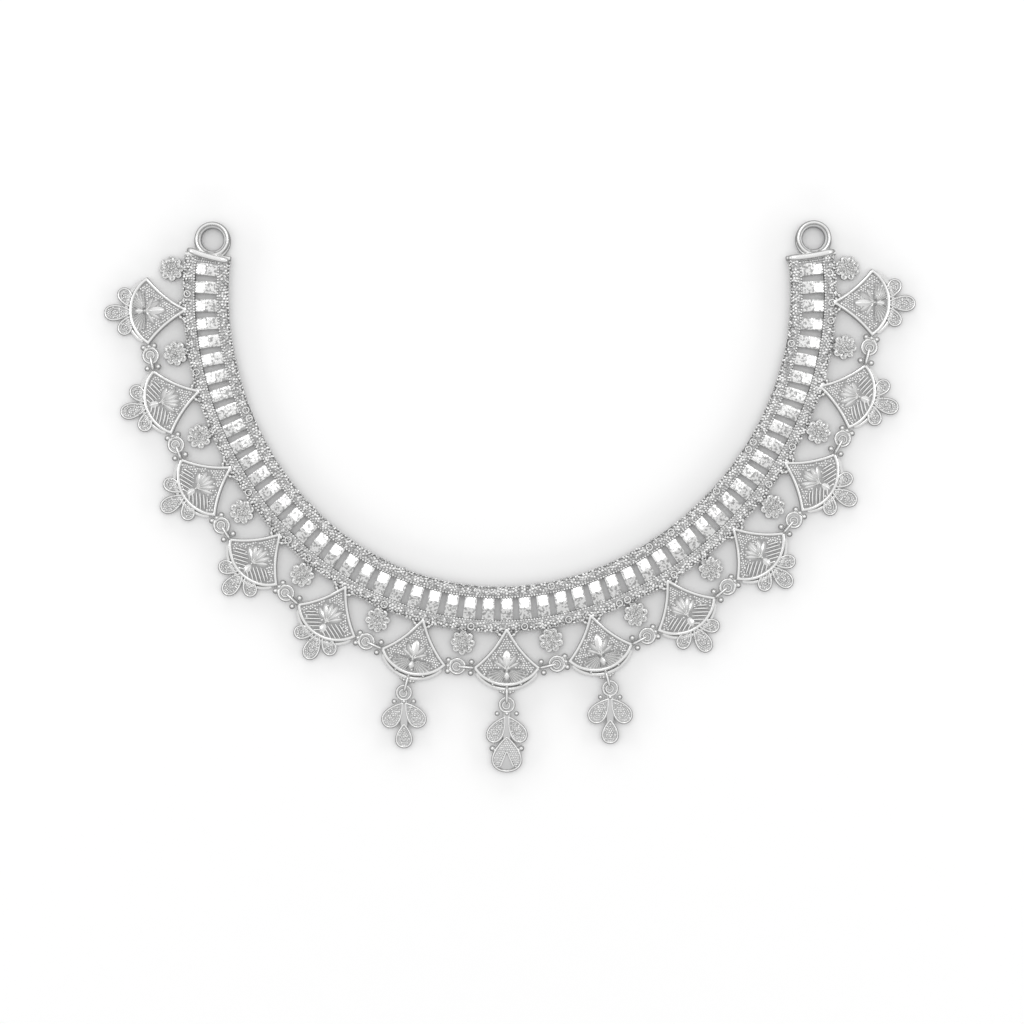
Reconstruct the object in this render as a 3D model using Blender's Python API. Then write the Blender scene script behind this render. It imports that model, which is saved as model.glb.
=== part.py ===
"""A silver bib collar lying flat and face up.

A ladder-like band runs round the front of the neck. Thirteen fan plaques stand on its outer edge and
hook into one another, a small rosette sits between each two fans, and three drops hang from the lowest
fans. Each end of the band carries a folded cap with a ring, where the wearer's cord or chain is tied.

Directions: +X runs to the right as the collar is looked at, +Y towards the wearer's neck and +Z up from
the table. An angle round the collar is measured from straight down (-Y), positive towards +X.
"""

import math

import bmesh
import bpy
from mathutils import Matrix, Vector

MM = 0.001

# Running gap between pieces that touch on the real collar.
SEAT_GAP = 0.3 * MM

# Band: an arc that is a little out of round, as a soft casting is after bending.
COLLAR_RADIUS = 56.2 * MM
COLLAR_WAVE = 0.8 * MM
WAVE_PHASE = math.radians(15.0)
BAND_WIDTH = 9.2 * MM
RAIL_WIDTH = 2.4 * MM
RAIL_HEIGHT = 1.9 * MM
RAIL_BEVEL = 0.5 * MM
RUNG_WIDTH = 2.4 * MM
SLOT_WIDTH = 1.25 * MM
RUNG_EDGE_HEIGHT = 1.2 * MM
RUNG_RIDGE_HEIGHT = 1.7 * MM
BAND_END_LIP = 1.1 * MM

# End caps: a folded bar over each end of the band, with a ring soldered to it.
CAP_THICKNESS = 1.1 * MM
CAP_FOLD = 0.9 * MM
CAP_FOLD_THICKNESS = 0.4 * MM
END_RING_DIAMETER = 7.1 * MM
END_RING_BORE = 4.4 * MM
END_RING_DEPTH = 1.8 * MM
END_RING_BEVEL = 0.35 * MM
END_RING_LIFT = 0.2 * MM
END_RING_SIDES = 16
# The rings were soldered a little off the caps' middles, here away from the neck, left and right.
END_RING_SHIFTS = {-1: -0.5 * MM, 1: 0.9 * MM}

# Fan plaques. The drift sets those on the right a little wider apart than those on the left.
FANS_EACH_SIDE = 6
FAN_DRIFT = 0.0075
FAN_HALF_WIDTH = 6.8 * MM
FAN_CORNER_REACH = 6.8 * MM
FAN_REACH = 10.5 * MM
FAN_APEX_WIDTH = 1.0 * MM
FAN_SIDE_HOLLOW = 0.6 * MM
FAN_RIM_WIDTH = 0.55 * MM
FAN_RIM_HEIGHT = 1.6 * MM
FAN_FIELD_HEIGHT = 1.1 * MM
FAN_SIDE_STEPS = 3
FAN_ARC_STEPS = 8

# Lower plate that shows as a second rim beyond the fan's arc, over a share of the arc's length.
SKIRT_REACH = 0.8 * MM
SKIRT_SPAN = 0.8
SKIRT_THICKNESS = 0.5 * MM
SKIRT_LIFT = 0.3 * MM

# Leaf motif on the fan: each row is a leaf that springs from the motif's centre.
MOTIF_REACH = 7.3 * MM
LEAF_LENGTH = 4.8 * MM
LEAF_HEIGHT = 0.6 * MM
LEAF_SINK = 0.15 * MM
LEAF_SHOULDER = 0.55
LEAVES = (
    # Turn from the apex in degrees, length and width as shares of the leaf's length.
    {"turn": 0, "length": 1.00, "width": 0.36},
    {"turn": 40, "length": 0.72, "width": 0.34},
    {"turn": -40, "length": 0.72, "width": 0.34},
    {"turn": 118, "length": 0.90, "width": 0.62},
    {"turn": -118, "length": 0.90, "width": 0.62},
    {"turn": 180, "length": 0.48, "width": 0.34},
)

# Wire links: flat ring on the fan that is further out, upright loop on the fan that is nearer the middle.
LINK_WIRE = 0.5 * MM
LINK_CLEARANCE = 0.3 * MM
LINK_SPAN = 5.3 * MM
LINK_RING_DIAMETER = 3.5 * MM
LINK_FLOOR_GAP = 0.05 * MM
LINK_SIDES = 10
WIRE_SIDES = 5
BOSS_RADIUS = 0.6 * MM
BOSS_REACH = 0.45 * MM
BOSS_SIDES = 10

# Trefoil of lobes beyond the arc of each outer fan.
LOBE_LENGTH = 5.7 * MM
LOBE_WIDTH = 3.0 * MM
SIDE_LOBE_LENGTH = 4.7 * MM
SIDE_LOBE_WIDTH = 2.6 * MM
SIDE_LOBE_TURN = math.radians(64.0)
SIDE_LOBE_SHIFT = 0.3 * MM
LOBE_THICKNESS = 0.9 * MM
LOBE_LIFT = 0.1 * MM
LOBE_SINK = 0.5 * MM
LOBE_POINTS = 10

# Rosettes between the fans. The end ones stand a share of the fans' pitch beyond the last fans.
ROSETTE_RADIUS = 2.15 * MM
ROSETTE_PETALS = 6
ROSETTE_NOTCH = 0.28 * MM
ROSETTE_EDGE_HEIGHT = 0.9 * MM
ROSETTE_TOP_HEIGHT = 1.5 * MM
END_ROSETTE_SHARE = 0.435

# Drops on the lowest fans. The fans further out end in a trefoil instead.
DROP_FANS_EACH_SIDE = 1
DROP_LOBE_POINTS = 12
DROP_RING_DIAMETER = 3.4 * MM
DROP_HANG = 3.75 * MM
DROP_THICKNESS = 1.2 * MM
STEM_LIFT = 0.2 * MM
STEM_THICKNESS = 0.8 * MM
CENTRE_DROP_LENGTH = 13.8 * MM
SIDE_DROP_LENGTH = 11.4 * MM
# Each row is a lobe: where its point lies and how long and wide it is, as shares of the drop's length.
CENTRE_DROP_LOBES = (
    {"across": 0.03, "down": 0.18, "turn": 31, "length": 0.44, "width": 0.25},
    {"across": -0.03, "down": 0.18, "turn": -31, "length": 0.44, "width": 0.25},
    {"across": 0.0, "down": 0.47, "turn": 0, "length": 0.53, "width": 0.45},
)
SIDE_DROP_LOBES = (
    {"across": 0.03, "down": 0.19, "turn": 37, "length": 0.53, "width": 0.33},
    {"across": -0.03, "down": 0.19, "turn": -37, "length": 0.53, "width": 0.33},
    {"across": 0.0, "down": 0.56, "turn": 0, "length": 0.44, "width": 0.31},
)
STEM_WIDTH = 1.3 * MM

SILVER_TONES = {
    "band_silver": ((0.86, 0.86, 0.85), 0.24),
    "cap_silver": ((0.92, 0.92, 0.91), 0.12),
    "fan_silver": ((0.88, 0.88, 0.87), 0.2),
    "rosette_silver": ((0.84, 0.84, 0.83), 0.28),
    "drop_silver": ((0.87, 0.87, 0.86), 0.22),
}


def clear_scene():
    """Remove what the scene holds."""
    for item in list(bpy.data.objects):
        bpy.data.objects.remove(item)


def silver(name):
    """Polished silver with the tone and roughness listed under its name."""
    colour, roughness = SILVER_TONES[name]
    material = bpy.data.materials.new(name)
    material.use_nodes = True
    shader = material.node_tree.nodes["Principled BSDF"]
    shader.inputs["Base Color"].default_value = (*colour, 1.0)
    shader.inputs["Metallic"].default_value = 1.0
    shader.inputs["Roughness"].default_value = roughness
    return material


def closed_mesh(vertices, faces):
    """A bmesh of the given surface with its faces pointing out."""
    body = bmesh.new()
    made = [body.verts.new(place) for place in vertices]
    for face in faces:
        body.faces.new([made[index] for index in face])
    bmesh.ops.recalc_face_normals(body, faces=body.faces)
    return body


def as_object(name, body, material, frame):
    """An object that holds the bmesh, placed by its frame."""
    mesh = bpy.data.meshes.new(name)
    body.to_mesh(mesh)
    body.free()
    item = bpy.data.objects.new(name, mesh)
    item.matrix_world = frame
    mesh.materials.append(material)
    bpy.context.scene.collection.objects.link(item)
    return item


def fused(name, pieces, material, frame):
    """One object from overlapping closed pieces, united into one body."""
    whole = as_object(name, pieces[0], material, Matrix.Identity(4))
    helpers = []
    for number, piece in enumerate(pieces[1:]):
        helper = as_object(f"{name}_piece_{number}", piece, material, Matrix.Identity(4))
        union = whole.modifiers.new("union", "BOOLEAN")
        union.operation = "UNION"
        union.solver = "EXACT"
        union.object = helper
        helpers.append(helper)
    evaluated = whole.evaluated_get(bpy.context.evaluated_depsgraph_get())
    mesh = bpy.data.meshes.new_from_object(evaluated)
    mesh.name = name
    whole.modifiers.clear()
    whole.data = mesh
    for helper in helpers:
        bpy.data.objects.remove(helper)
    whole.matrix_world = frame
    return whole


def prism(outline, rise):
    """The flat outline pushed along the rise."""
    count = len(outline)
    vertices = [Vector(place) for place in outline]
    vertices += [place + rise for place in vertices]
    faces = [tuple(range(count)), tuple(range(count, 2 * count))]
    for index in range(count):
        after = (index + 1) % count
        faces.append((index, after, count + after, count + index))
    return closed_mesh(vertices, faces)


def plate(outline, low, high):
    """A flat plate with the outline (u, v), between two heights."""
    return prism([(u, v, low) for u, v in outline], Vector((0.0, 0.0, high - low)))


def ring_of_sections(sections):
    """A closed tube through the sections, the last of which meets the first."""
    corners = len(sections[0])
    vertices = [place for section in sections for place in section]
    faces = []
    for index in range(len(sections)):
        here = index * corners
        there = (index + 1) % len(sections) * corners
        for corner in range(corners):
            after = (corner + 1) % corners
            faces.append((here + corner, there + corner, there + after, here + after))
    return closed_mesh(vertices, faces)


def wire_loop(path, normal, radius):
    """A closed wire along a flat path whose plane has the given normal."""
    sections = []
    for index, place in enumerate(path):
        along = (path[(index + 1) % len(path)] - path[index - 1]).normalized()
        side = along.cross(normal)
        section = []
        for corner in range(WIRE_SIDES):
            turn = 2.0 * math.pi * corner / WIRE_SIDES
            section.append(place + radius * (math.cos(turn) * normal + math.sin(turn) * side))
        sections.append(section)
    return ring_of_sections(sections)


def flat_ring(centre, diameter):
    """A wire ring that lies flat, given over its outside."""
    middle = 0.5 * (diameter - LINK_WIRE)
    path = []
    for index in range(LINK_SIDES):
        turn = 2.0 * math.pi * index / LINK_SIDES
        path.append(centre + middle * Vector((math.cos(turn), math.sin(turn), 0.0)))
    return wire_loop(path, Vector((0.0, 0.0, 1.0)), 0.5 * LINK_WIRE)


def loop_half_height():
    """Half the height of an upright loop's centre line, which clears the ring it holds."""
    return LINK_WIRE + LINK_CLEARANCE


def link_level():
    """Height of the links' middle above the table."""
    return loop_half_height() + 0.5 * LINK_WIRE + LINK_FLOOR_GAP


def upright_loop(start, end):
    """A standing wire loop with round ends, whose centre line runs from start to end and back."""
    along = (end - start).normalized()
    up = Vector((0.0, 0.0, 1.0))
    radius = min(loop_half_height(), 0.45 * (end - start).length)
    half = LINK_SIDES // 2
    path = []
    for middle, first in ((end - along * radius, -0.5), (start + along * radius, 0.5)):
        for index in range(half):
            turn = math.pi * (first + index / (half - 1))
            path.append(middle + radius * math.cos(turn) * along + loop_half_height() * math.sin(turn) * up)
    return wire_loop(path, along.cross(up), 0.5 * LINK_WIRE)


def ball(centre, radius):
    """A small round boss."""
    body = bmesh.new()
    bmesh.ops.create_uvsphere(
        body,
        u_segments=BOSS_SIDES,
        v_segments=BOSS_SIDES // 2,
        radius=radius,
        matrix=Matrix.Translation(centre),
    )
    return body


def inset(outline, distance):
    """The outline moved inwards by the distance, each edge parallel to its old line."""
    count = len(outline)
    moved = []
    for index in range(count):
        before = Vector(outline[index - 1])
        here = Vector(outline[index])
        after = Vector(outline[(index + 1) % count])
        first = (here - before).normalized()
        second = (after - here).normalized()
        normals = Vector((-first.y, first.x)) + Vector((-second.y, second.x))
        share = distance * 2.0 / normals.length_squared
        moved.append(tuple(here + normals * share))
    return moved


def teardrop(root, turn, length, width, points):
    """Outline of a teardrop with its point at the root, turned from +v towards +u.

    Its half width follows sin(t) sin(t / 2), whose greatest value is 4 / (3 root 3).
    """
    across = Vector((math.cos(turn), -math.sin(turn)))
    along = Vector((math.sin(turn), math.cos(turn)))
    widest = 4.0 / (3.0 * math.sqrt(3.0))
    outline = []
    for index in range(points):
        t = 2.0 * math.pi * (index + 0.5) / points
        side = 0.5 * width * math.sin(t) * math.sin(0.5 * t) / widest
        reach = 0.5 * length * (1.0 - math.cos(t))
        outline.append(tuple(Vector(root) + across * side + along * reach))
    return outline


def neck_radius(angle):
    """Radius of the band's inner edge, which is a little out of round."""
    return COLLAR_RADIUS + COLLAR_WAVE * math.cos(3.0 * (angle + WAVE_PHASE))


def collar_frame(angle, out):
    """Frame on the collar: +v points away from the neck, +u towards smaller angles, w up."""
    reach = neck_radius(angle) + out
    place = Vector((reach * math.sin(angle), -reach * math.cos(angle), 0.0))
    return Matrix.Translation(place) @ Matrix.Rotation(angle + math.pi, 4, "Z")


def rung_pitch():
    """Angle from one rung to the next."""
    return (RUNG_WIDTH + SLOT_WIDTH) / (COLLAR_RADIUS + 0.5 * BAND_WIDTH)


def rungs_each_side():
    """Rungs on either side of the middle one, enough to reach the end rosettes."""
    return math.ceil(end_rosette_angle() / rung_pitch())


def band_end_frame(side):
    """Frame in the middle of the band's end face, +v along the band and out of its end."""
    angle = side * rungs_each_side() * rung_pitch()
    rung = collar_frame(angle, 0.5 * BAND_WIDTH)
    reach = Vector((-side * (0.5 * RUNG_WIDTH + BAND_END_LIP), 0.0, 0.0))
    return rung @ Matrix.Translation(reach) @ Matrix.Rotation(side * 0.5 * math.pi, 4, "Z")


def collar_band(material):
    """The ladder band: two bevelled rails with roof-shaped rungs between them, open in the slots."""
    rail = (
        (0.0, 0.0),
        (0.0, RAIL_HEIGHT - RAIL_BEVEL),
        (RAIL_BEVEL, RAIL_HEIGHT),
        (RAIL_WIDTH - RAIL_BEVEL, RAIL_HEIGHT),
        (RAIL_WIDTH, RUNG_EDGE_HEIGHT),
        (RAIL_WIDTH, 0.0),
    )
    outer_rail = [(BAND_WIDTH - out, height) for out, height in rail]
    ridge = (0.5 * BAND_WIDTH, RUNG_RIDGE_HEIGHT)
    section = [*rail, *outer_rail, ridge]
    size = len(section)
    corners = len(rail)
    each_side = rungs_each_side()
    vertices = []
    for rung in range(-each_side, each_side + 1):
        frame = collar_frame(rung * rung_pitch(), 0.0)
        for edge in (-1, 1):
            at_end = rung == edge * each_side
            across = -edge * (0.5 * RUNG_WIDTH + (BAND_END_LIP if at_end else 0.0))
            for out, height in section:
                vertices.append(frame @ Vector((across, out, height)))
    stations = len(vertices) // size
    wall = corners - 2
    faces = []
    for station in range(stations - 1):
        here = station * size
        there = here + size
        is_rung = station % 2 == 0
        for first in (0, corners):
            for corner in range(corners):
                if is_rung and corner == wall:
                    continue
                after = (corner + 1) % corners
                faces.append(
                    (here + first + corner, there + first + corner, there + first + after, here + first + after)
                )
        if is_rung:
            top_in, top_out, peak = wall, corners + wall, 2 * corners
            low_in, low_out = wall + 1, corners + wall + 1
            faces.append((here + top_in, there + top_in, there + peak, here + peak))
            faces.append((here + peak, there + peak, there + top_out, here + top_out))
            faces.append((here + low_in, here + low_out, there + low_out, there + low_in))
            for base in (here, there):
                faces.append(tuple(base + point for point in (top_in, peak, top_out, low_out, low_in)))
    for base in (0, (stations - 1) * size):
        for first in (0, corners):
            faces.append(tuple(base + first + corner for corner in range(corners)))
    return as_object("collar_band", closed_mesh(vertices, faces), material, Matrix.Identity(4))


def end_cap(side, name, material):
    """Folded cap over the band's end with its ring."""
    top = RAIL_HEIGHT + SEAT_GAP + CAP_FOLD_THICKNESS
    under = RAIL_HEIGHT + SEAT_GAP
    near = SEAT_GAP
    far = SEAT_GAP + CAP_THICKNESS
    profile = ((near, 0.0), (far, 0.0), (far, top), (-CAP_FOLD, top), (-CAP_FOLD, under), (near, under))
    half = 0.5 * BAND_WIDTH
    bar = prism([(-half, v, height) for v, height in profile], Vector((2.0 * half, 0.0, 0.0)))
    outer = 0.5 * END_RING_DIAMETER
    inner = 0.5 * END_RING_BORE
    low = END_RING_LIFT
    high = END_RING_LIFT + END_RING_DEPTH
    section = (
        (inner, low),
        (outer, low),
        (outer, high - END_RING_BEVEL),
        (outer - END_RING_BEVEL, high),
        (inner + END_RING_BEVEL, high),
        (inner, high - END_RING_BEVEL),
    )
    centre = Vector((side * END_RING_SHIFTS[side], end_ring_reach(), 0.0))
    sections = []
    for index in range(END_RING_SIDES):
        turn = 2.0 * math.pi * (index + 0.5) / END_RING_SIDES
        ray = Vector((math.cos(turn), math.sin(turn), 0.0))
        sections.append([centre + ray * radius + Vector((0.0, 0.0, height)) for radius, height in section])
    return fused(name, [bar, ring_of_sections(sections)], material, band_end_frame(side))


def end_ring_reach():
    """Distance of the end ring's middle from the band's end; its bore stays clear of the cap."""
    return SEAT_GAP + CAP_THICKNESS + 0.5 * END_RING_BORE + 0.5 * SEAT_GAP


def fan_out():
    """Distance of a fan's apex from the band's inner edge."""
    return BAND_WIDTH + SEAT_GAP


def fan_pitch():
    """Angle from one fan to the next, so that the link's span is left between their corners."""
    corner = Vector((FAN_HALF_WIDTH, COLLAR_RADIUS + fan_out() + FAN_CORNER_REACH))
    half_gap = math.asin(0.5 * LINK_SPAN / corner.length)
    return 2.0 * (math.atan2(corner.x, corner.y) + half_gap)


def fan_angle(number):
    """Angle of a fan's axis, or between two fans for half a number, with the drift to the right."""
    return number * fan_pitch() * (1.0 + math.copysign(FAN_DRIFT, number))


def end_rosette_angle():
    """Angle of the rosettes beyond the last fans, which the band reaches past."""
    return (FANS_EACH_SIDE + END_ROSETTE_SHARE) * fan_pitch()


def fan_frame(number):
    """Frame at the apex of the fan, counted from the middle one."""
    return collar_frame(fan_angle(number), fan_out())


def fan_corner(number, towards):
    """World place of the fan's corner on the side of larger (1) or smaller (-1) angles."""
    return fan_frame(number) @ Vector((-towards * FAN_HALF_WIDTH, FAN_CORNER_REACH, link_level()))


def link_ring_centre(number):
    """World place of the ring on the fan's corner nearer the middle of the collar."""
    inwards = -1 if number > 0 else 1
    own = fan_corner(number, inwards)
    other = fan_corner(number + inwards, -inwards)
    return own + (other - own).normalized() * (BOSS_REACH + 0.5 * LINK_RING_DIAMETER)


def arc_circle(reach):
    """Middle and radius of the arc through the fan's corners and the given reach."""
    rise = reach - FAN_CORNER_REACH
    radius = 0.5 * (FAN_HALF_WIDTH**2 + rise**2) / rise
    return reach - radius, radius


def fan_outline():
    """Outline of the fan, anticlockwise: apex edge, hollow side, arc, hollow side."""
    apex = 0.5 * FAN_APEX_WIDTH
    side = []
    for step in range(FAN_SIDE_STEPS):
        share = step / FAN_SIDE_STEPS
        hollow = FAN_SIDE_HOLLOW * 4.0 * share * (1.0 - share)
        u = apex + (FAN_HALF_WIDTH - apex) * share
        slope = math.atan2(FAN_HALF_WIDTH - apex, FAN_CORNER_REACH)
        side.append((u - hollow * math.cos(slope), FAN_CORNER_REACH * share + hollow * math.sin(slope)))
    middle, radius = arc_circle(FAN_REACH)
    half_turn = math.atan2(FAN_HALF_WIDTH, FAN_CORNER_REACH - middle)
    arc = []
    for step in range(FAN_ARC_STEPS + 1):
        turn = half_turn * (1.0 - 2.0 * step / FAN_ARC_STEPS)
        arc.append((radius * math.sin(turn), middle + radius * math.cos(turn)))
    return side + arc + [(-u, v) for u, v in reversed(side)]


def fan_plate():
    """The fan's plate with a raised rim round a lower field, and a flat back."""
    outline = fan_outline()
    inner = inset(outline, FAN_RIM_WIDTH)
    count = len(outline)
    levels = (
        (outline, 0.0),
        (outline, FAN_RIM_HEIGHT),
        (inner, FAN_RIM_HEIGHT),
        (inner, FAN_FIELD_HEIGHT),
    )
    vertices = [(u, v, height) for points, height in levels for u, v in points]
    faces = [tuple(range(count)), tuple(range(3 * count, 4 * count))]
    for level in range(3):
        for index in range(count):
            after = (index + 1) % count
            here = level * count
            faces.append((here + index, here + after, here + count + after, here + count + index))
    return closed_mesh(vertices, faces)


def fan_skirt():
    """Thin lower plate whose arc stands out beyond the fan's."""
    middle, radius = arc_circle(FAN_REACH)
    half_turn = SKIRT_SPAN * math.atan2(FAN_HALF_WIDTH, FAN_CORNER_REACH - middle)
    outline = []
    for step in range(FAN_ARC_STEPS + 1):
        turn = half_turn * (1.0 - 2.0 * step / FAN_ARC_STEPS)
        reach = radius + SKIRT_REACH * math.sqrt(1.0 - (turn / half_turn) ** 2)
        outline.append((reach * math.sin(turn), middle + reach * math.cos(turn)))
    outline.append((0.0, MOTIF_REACH))
    return plate(outline, SKIRT_LIFT, SKIRT_LIFT + SKIRT_THICKNESS)


def leaf(turn, length, width):
    """A four-sided leaf with one high point, springing from the motif's centre."""
    across = Vector((math.cos(turn), math.sin(turn), 0.0))
    along = Vector((math.sin(turn), -math.cos(turn), 0.0))
    root = Vector((0.0, MOTIF_REACH, FAN_FIELD_HEIGHT - LEAF_SINK))
    shoulder = root + along * length * LEAF_SHOULDER
    base = (root, shoulder + across * 0.5 * width, root + along * length, shoulder - across * 0.5 * width)
    peak = shoulder + Vector((0.0, 0.0, LEAF_SINK + LEAF_HEIGHT))
    return closed_mesh([*base, peak], [(0, 1, 2, 3), (0, 1, 4), (1, 2, 4), (2, 3, 4), (3, 0, 4)])


def trefoil():
    """Three flat lobes that spring from the middle of the fan's arc."""
    root_v = FAN_REACH - LOBE_SINK
    lobes = (
        (0.0, 0.0, LOBE_LENGTH, LOBE_WIDTH),
        (SIDE_LOBE_SHIFT, SIDE_LOBE_TURN, SIDE_LOBE_LENGTH, SIDE_LOBE_WIDTH),
        (-SIDE_LOBE_SHIFT, -SIDE_LOBE_TURN, SIDE_LOBE_LENGTH, SIDE_LOBE_WIDTH),
    )
    made = []
    for shift, turn, length, width in lobes:
        outline = teardrop((shift, root_v), turn, length, width, LOBE_POINTS)
        made.append(plate(outline, LOBE_LIFT, LOBE_LIFT + LOBE_THICKNESS))
    return made


def held_loop(start, ring_centre, ring_diameter):
    """Upright loop from the start, through the ring and round the ring's near wire."""
    way = ring_centre - start
    near_wire = way.length - 0.5 * (ring_diameter - LINK_WIRE)
    reach = near_wire + LINK_WIRE + LINK_CLEARANCE
    return upright_loop(start - way.normalized() * 0.5 * LINK_WIRE, start + way.normalized() * reach)


def drop_ring_centre():
    """Place of a drop's ring in its fan's frame."""
    return Vector((0.0, FAN_REACH + DROP_HANG, link_level()))


def fan(number, name, material):
    """A fan with its motif, its links to the neighbours and its trefoil or drop loop."""
    frame = fan_frame(number)
    to_fan = frame.inverted()
    pieces = [fan_plate(), fan_skirt()]
    for row in LEAVES:
        pieces.append(leaf(math.radians(row["turn"]), row["length"] * LEAF_LENGTH, row["width"] * LEAF_LENGTH))
    if number != 0:
        inwards = -1 if number > 0 else 1
        corner = to_fan @ fan_corner(number, inwards)
        centre = to_fan @ link_ring_centre(number)
        boss = corner + (centre - corner).normalized() * BOSS_REACH
        pieces.append(ball(boss, BOSS_RADIUS))
        pieces.append(flat_ring(centre, LINK_RING_DIAMETER))
    for outwards in (-1, 1):
        if number * outwards < 0 or abs(number) == FANS_EACH_SIDE:
            continue
        corner = to_fan @ fan_corner(number, outwards)
        ring_centre = to_fan @ link_ring_centre(number + outwards)
        pieces.append(held_loop(corner, ring_centre, LINK_RING_DIAMETER))
    if abs(number) > DROP_FANS_EACH_SIDE:
        pieces.extend(trefoil())
    else:
        start = Vector((0.0, FAN_REACH, link_level()))
        pieces.append(held_loop(start, drop_ring_centre(), DROP_RING_DIAMETER))
    return fused(name, pieces, material, frame)


def rosette(angle, name, material):
    """A small flower with a scalloped edge and a raised middle."""
    steps = 3 * ROSETTE_PETALS
    vertices = []
    for height in (0.0, ROSETTE_EDGE_HEIGHT):
        for step in range(steps):
            turn = 2.0 * math.pi * step / steps
            radius = ROSETTE_RADIUS - ROSETTE_NOTCH * (0.5 - 0.5 * math.cos(ROSETTE_PETALS * turn))
            vertices.append((radius * math.sin(turn), radius * math.cos(turn), height))
    vertices.append((0.0, 0.0, ROSETTE_TOP_HEIGHT))
    faces = [tuple(range(steps))]
    for step in range(steps):
        after = (step + 1) % steps
        faces.append((step, after, steps + after, steps + step))
        faces.append((steps + step, steps + after, 2 * steps))
    frame = collar_frame(angle, BAND_WIDTH + SEAT_GAP + ROSETTE_RADIUS)
    return as_object(name, closed_mesh(vertices, faces), material, frame)


def rosette_angles():
    """Halfway between the fans, and beyond the last fans."""
    between = [fan_angle(index + 0.5) for index in range(-FANS_EACH_SIDE, FANS_EACH_SIDE)]
    return [-end_rosette_angle(), *between, end_rosette_angle()]


def drop(number, name, length, lobes, material):
    """A flat drop of three lobes on a stem, below its ring."""
    level = link_level()
    pieces = []
    for row in lobes:
        root = (row["across"] * length, row["down"] * length)
        turn = math.radians(row["turn"])
        outline = teardrop(root, turn, row["length"] * length, row["width"] * length, DROP_LOBE_POINTS)
        pieces.append(plate(outline, 0.0, DROP_THICKNESS))
    ring_radius = 0.5 * (DROP_RING_DIAMETER - LINK_WIRE)
    foot = (lobes[-1]["down"] + 0.5 * lobes[-1]["length"]) * length
    half = 0.5 * STEM_WIDTH
    stem = [(half, ring_radius), (half, foot), (-half, foot), (-half, ring_radius)]
    pieces.insert(0, plate(stem, STEM_LIFT, STEM_LIFT + STEM_THICKNESS))
    pieces.append(ball(Vector((0.0, ring_radius + 0.5 * BOSS_RADIUS, level)), BOSS_RADIUS))
    pieces.append(flat_ring(Vector((0.0, 0.0, level)), DROP_RING_DIAMETER))
    centre = fan_frame(number) @ drop_ring_centre()
    frame = Matrix.Translation((centre.x, centre.y, 0.0)) @ Matrix.Rotation(math.pi, 4, "Z")
    return fused(name, pieces, material, frame)


def stand_at_origin(pieces):
    """Parent the pieces to an empty and set the middle of their underside on the origin."""
    bpy.context.view_layer.update()
    corners = [item.matrix_world @ vertex.co for item in pieces for vertex in item.data.vertices]
    lows = [min(place[axis] for place in corners) for axis in range(3)]
    highs = [max(place[axis] for place in corners) for axis in range(3)]
    holder = bpy.data.objects.new("necklace", None)
    bpy.context.scene.collection.objects.link(holder)
    for item in pieces:
        item.parent = holder
    holder.location = (-0.5 * (lows[0] + highs[0]), -0.5 * (lows[1] + highs[1]), -lows[2])


def build():
    """Make the whole collar."""
    clear_scene()
    tones = {name: silver(name) for name in SILVER_TONES}
    pieces = [collar_band(tones["band_silver"])]
    pieces.append(end_cap(-1, "end_cap_left", tones["cap_silver"]))
    pieces.append(end_cap(1, "end_cap_right", tones["cap_silver"]))
    for number in range(-FANS_EACH_SIDE, FANS_EACH_SIDE + 1):
        pieces.append(fan(number, f"fan_{number + FANS_EACH_SIDE + 1:02d}", tones["fan_silver"]))
    for index, angle in enumerate(rosette_angles()):
        pieces.append(rosette(angle, f"rosette_{index + 1:02d}", tones["rosette_silver"]))
    drops = (
        (-1, "drop_left", SIDE_DROP_LENGTH, SIDE_DROP_LOBES),
        (0, "drop_centre", CENTRE_DROP_LENGTH, CENTRE_DROP_LOBES),
        (1, "drop_right", SIDE_DROP_LENGTH, SIDE_DROP_LOBES),
    )
    for number, name, length, lobes in drops:
        pieces.append(drop(number, name, length, lobes, tones["drop_silver"]))
    stand_at_origin(pieces)


build()
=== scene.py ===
# %% [markdown]
# # A silver bib necklace
# This notebook dresses a plain solid model of a traditional silver collar, so that it looks like the real
# casting: granules, beaded wires, polished rims and chased leaves. The solid model gives every place and
# size. Each step says what the part is on the real object and how it is made here.

# %% [markdown]
# ## Load the solid model
# The solids come in first, in metres, with the collar lying face up and its open ends towards +Y.

# %% Load the solid model
import math

import bpy
import numpy as np
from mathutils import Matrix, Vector


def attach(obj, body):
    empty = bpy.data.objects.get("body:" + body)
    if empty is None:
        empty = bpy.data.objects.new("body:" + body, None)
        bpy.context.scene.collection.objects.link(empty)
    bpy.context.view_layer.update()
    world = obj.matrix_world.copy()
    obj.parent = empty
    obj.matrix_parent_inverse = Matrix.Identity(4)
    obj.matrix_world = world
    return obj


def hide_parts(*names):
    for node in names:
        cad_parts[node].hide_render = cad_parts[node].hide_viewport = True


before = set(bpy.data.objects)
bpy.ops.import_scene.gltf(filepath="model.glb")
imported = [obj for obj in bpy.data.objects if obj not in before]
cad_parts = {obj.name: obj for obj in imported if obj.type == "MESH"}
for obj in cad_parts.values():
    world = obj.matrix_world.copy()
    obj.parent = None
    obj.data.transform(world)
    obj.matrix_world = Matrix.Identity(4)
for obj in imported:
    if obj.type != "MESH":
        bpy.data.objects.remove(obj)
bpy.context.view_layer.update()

# %% [markdown]
# ## Where things lie
# A smith marks such a collar out by angles round the neck, so this script does the same. An angle is counted
# from straight down, positive to the right, and "out" is the distance from the band's inner edge in
# millimetres. The neck line is a circle that is a little out of round. These numbers are those of the solids.

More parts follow.
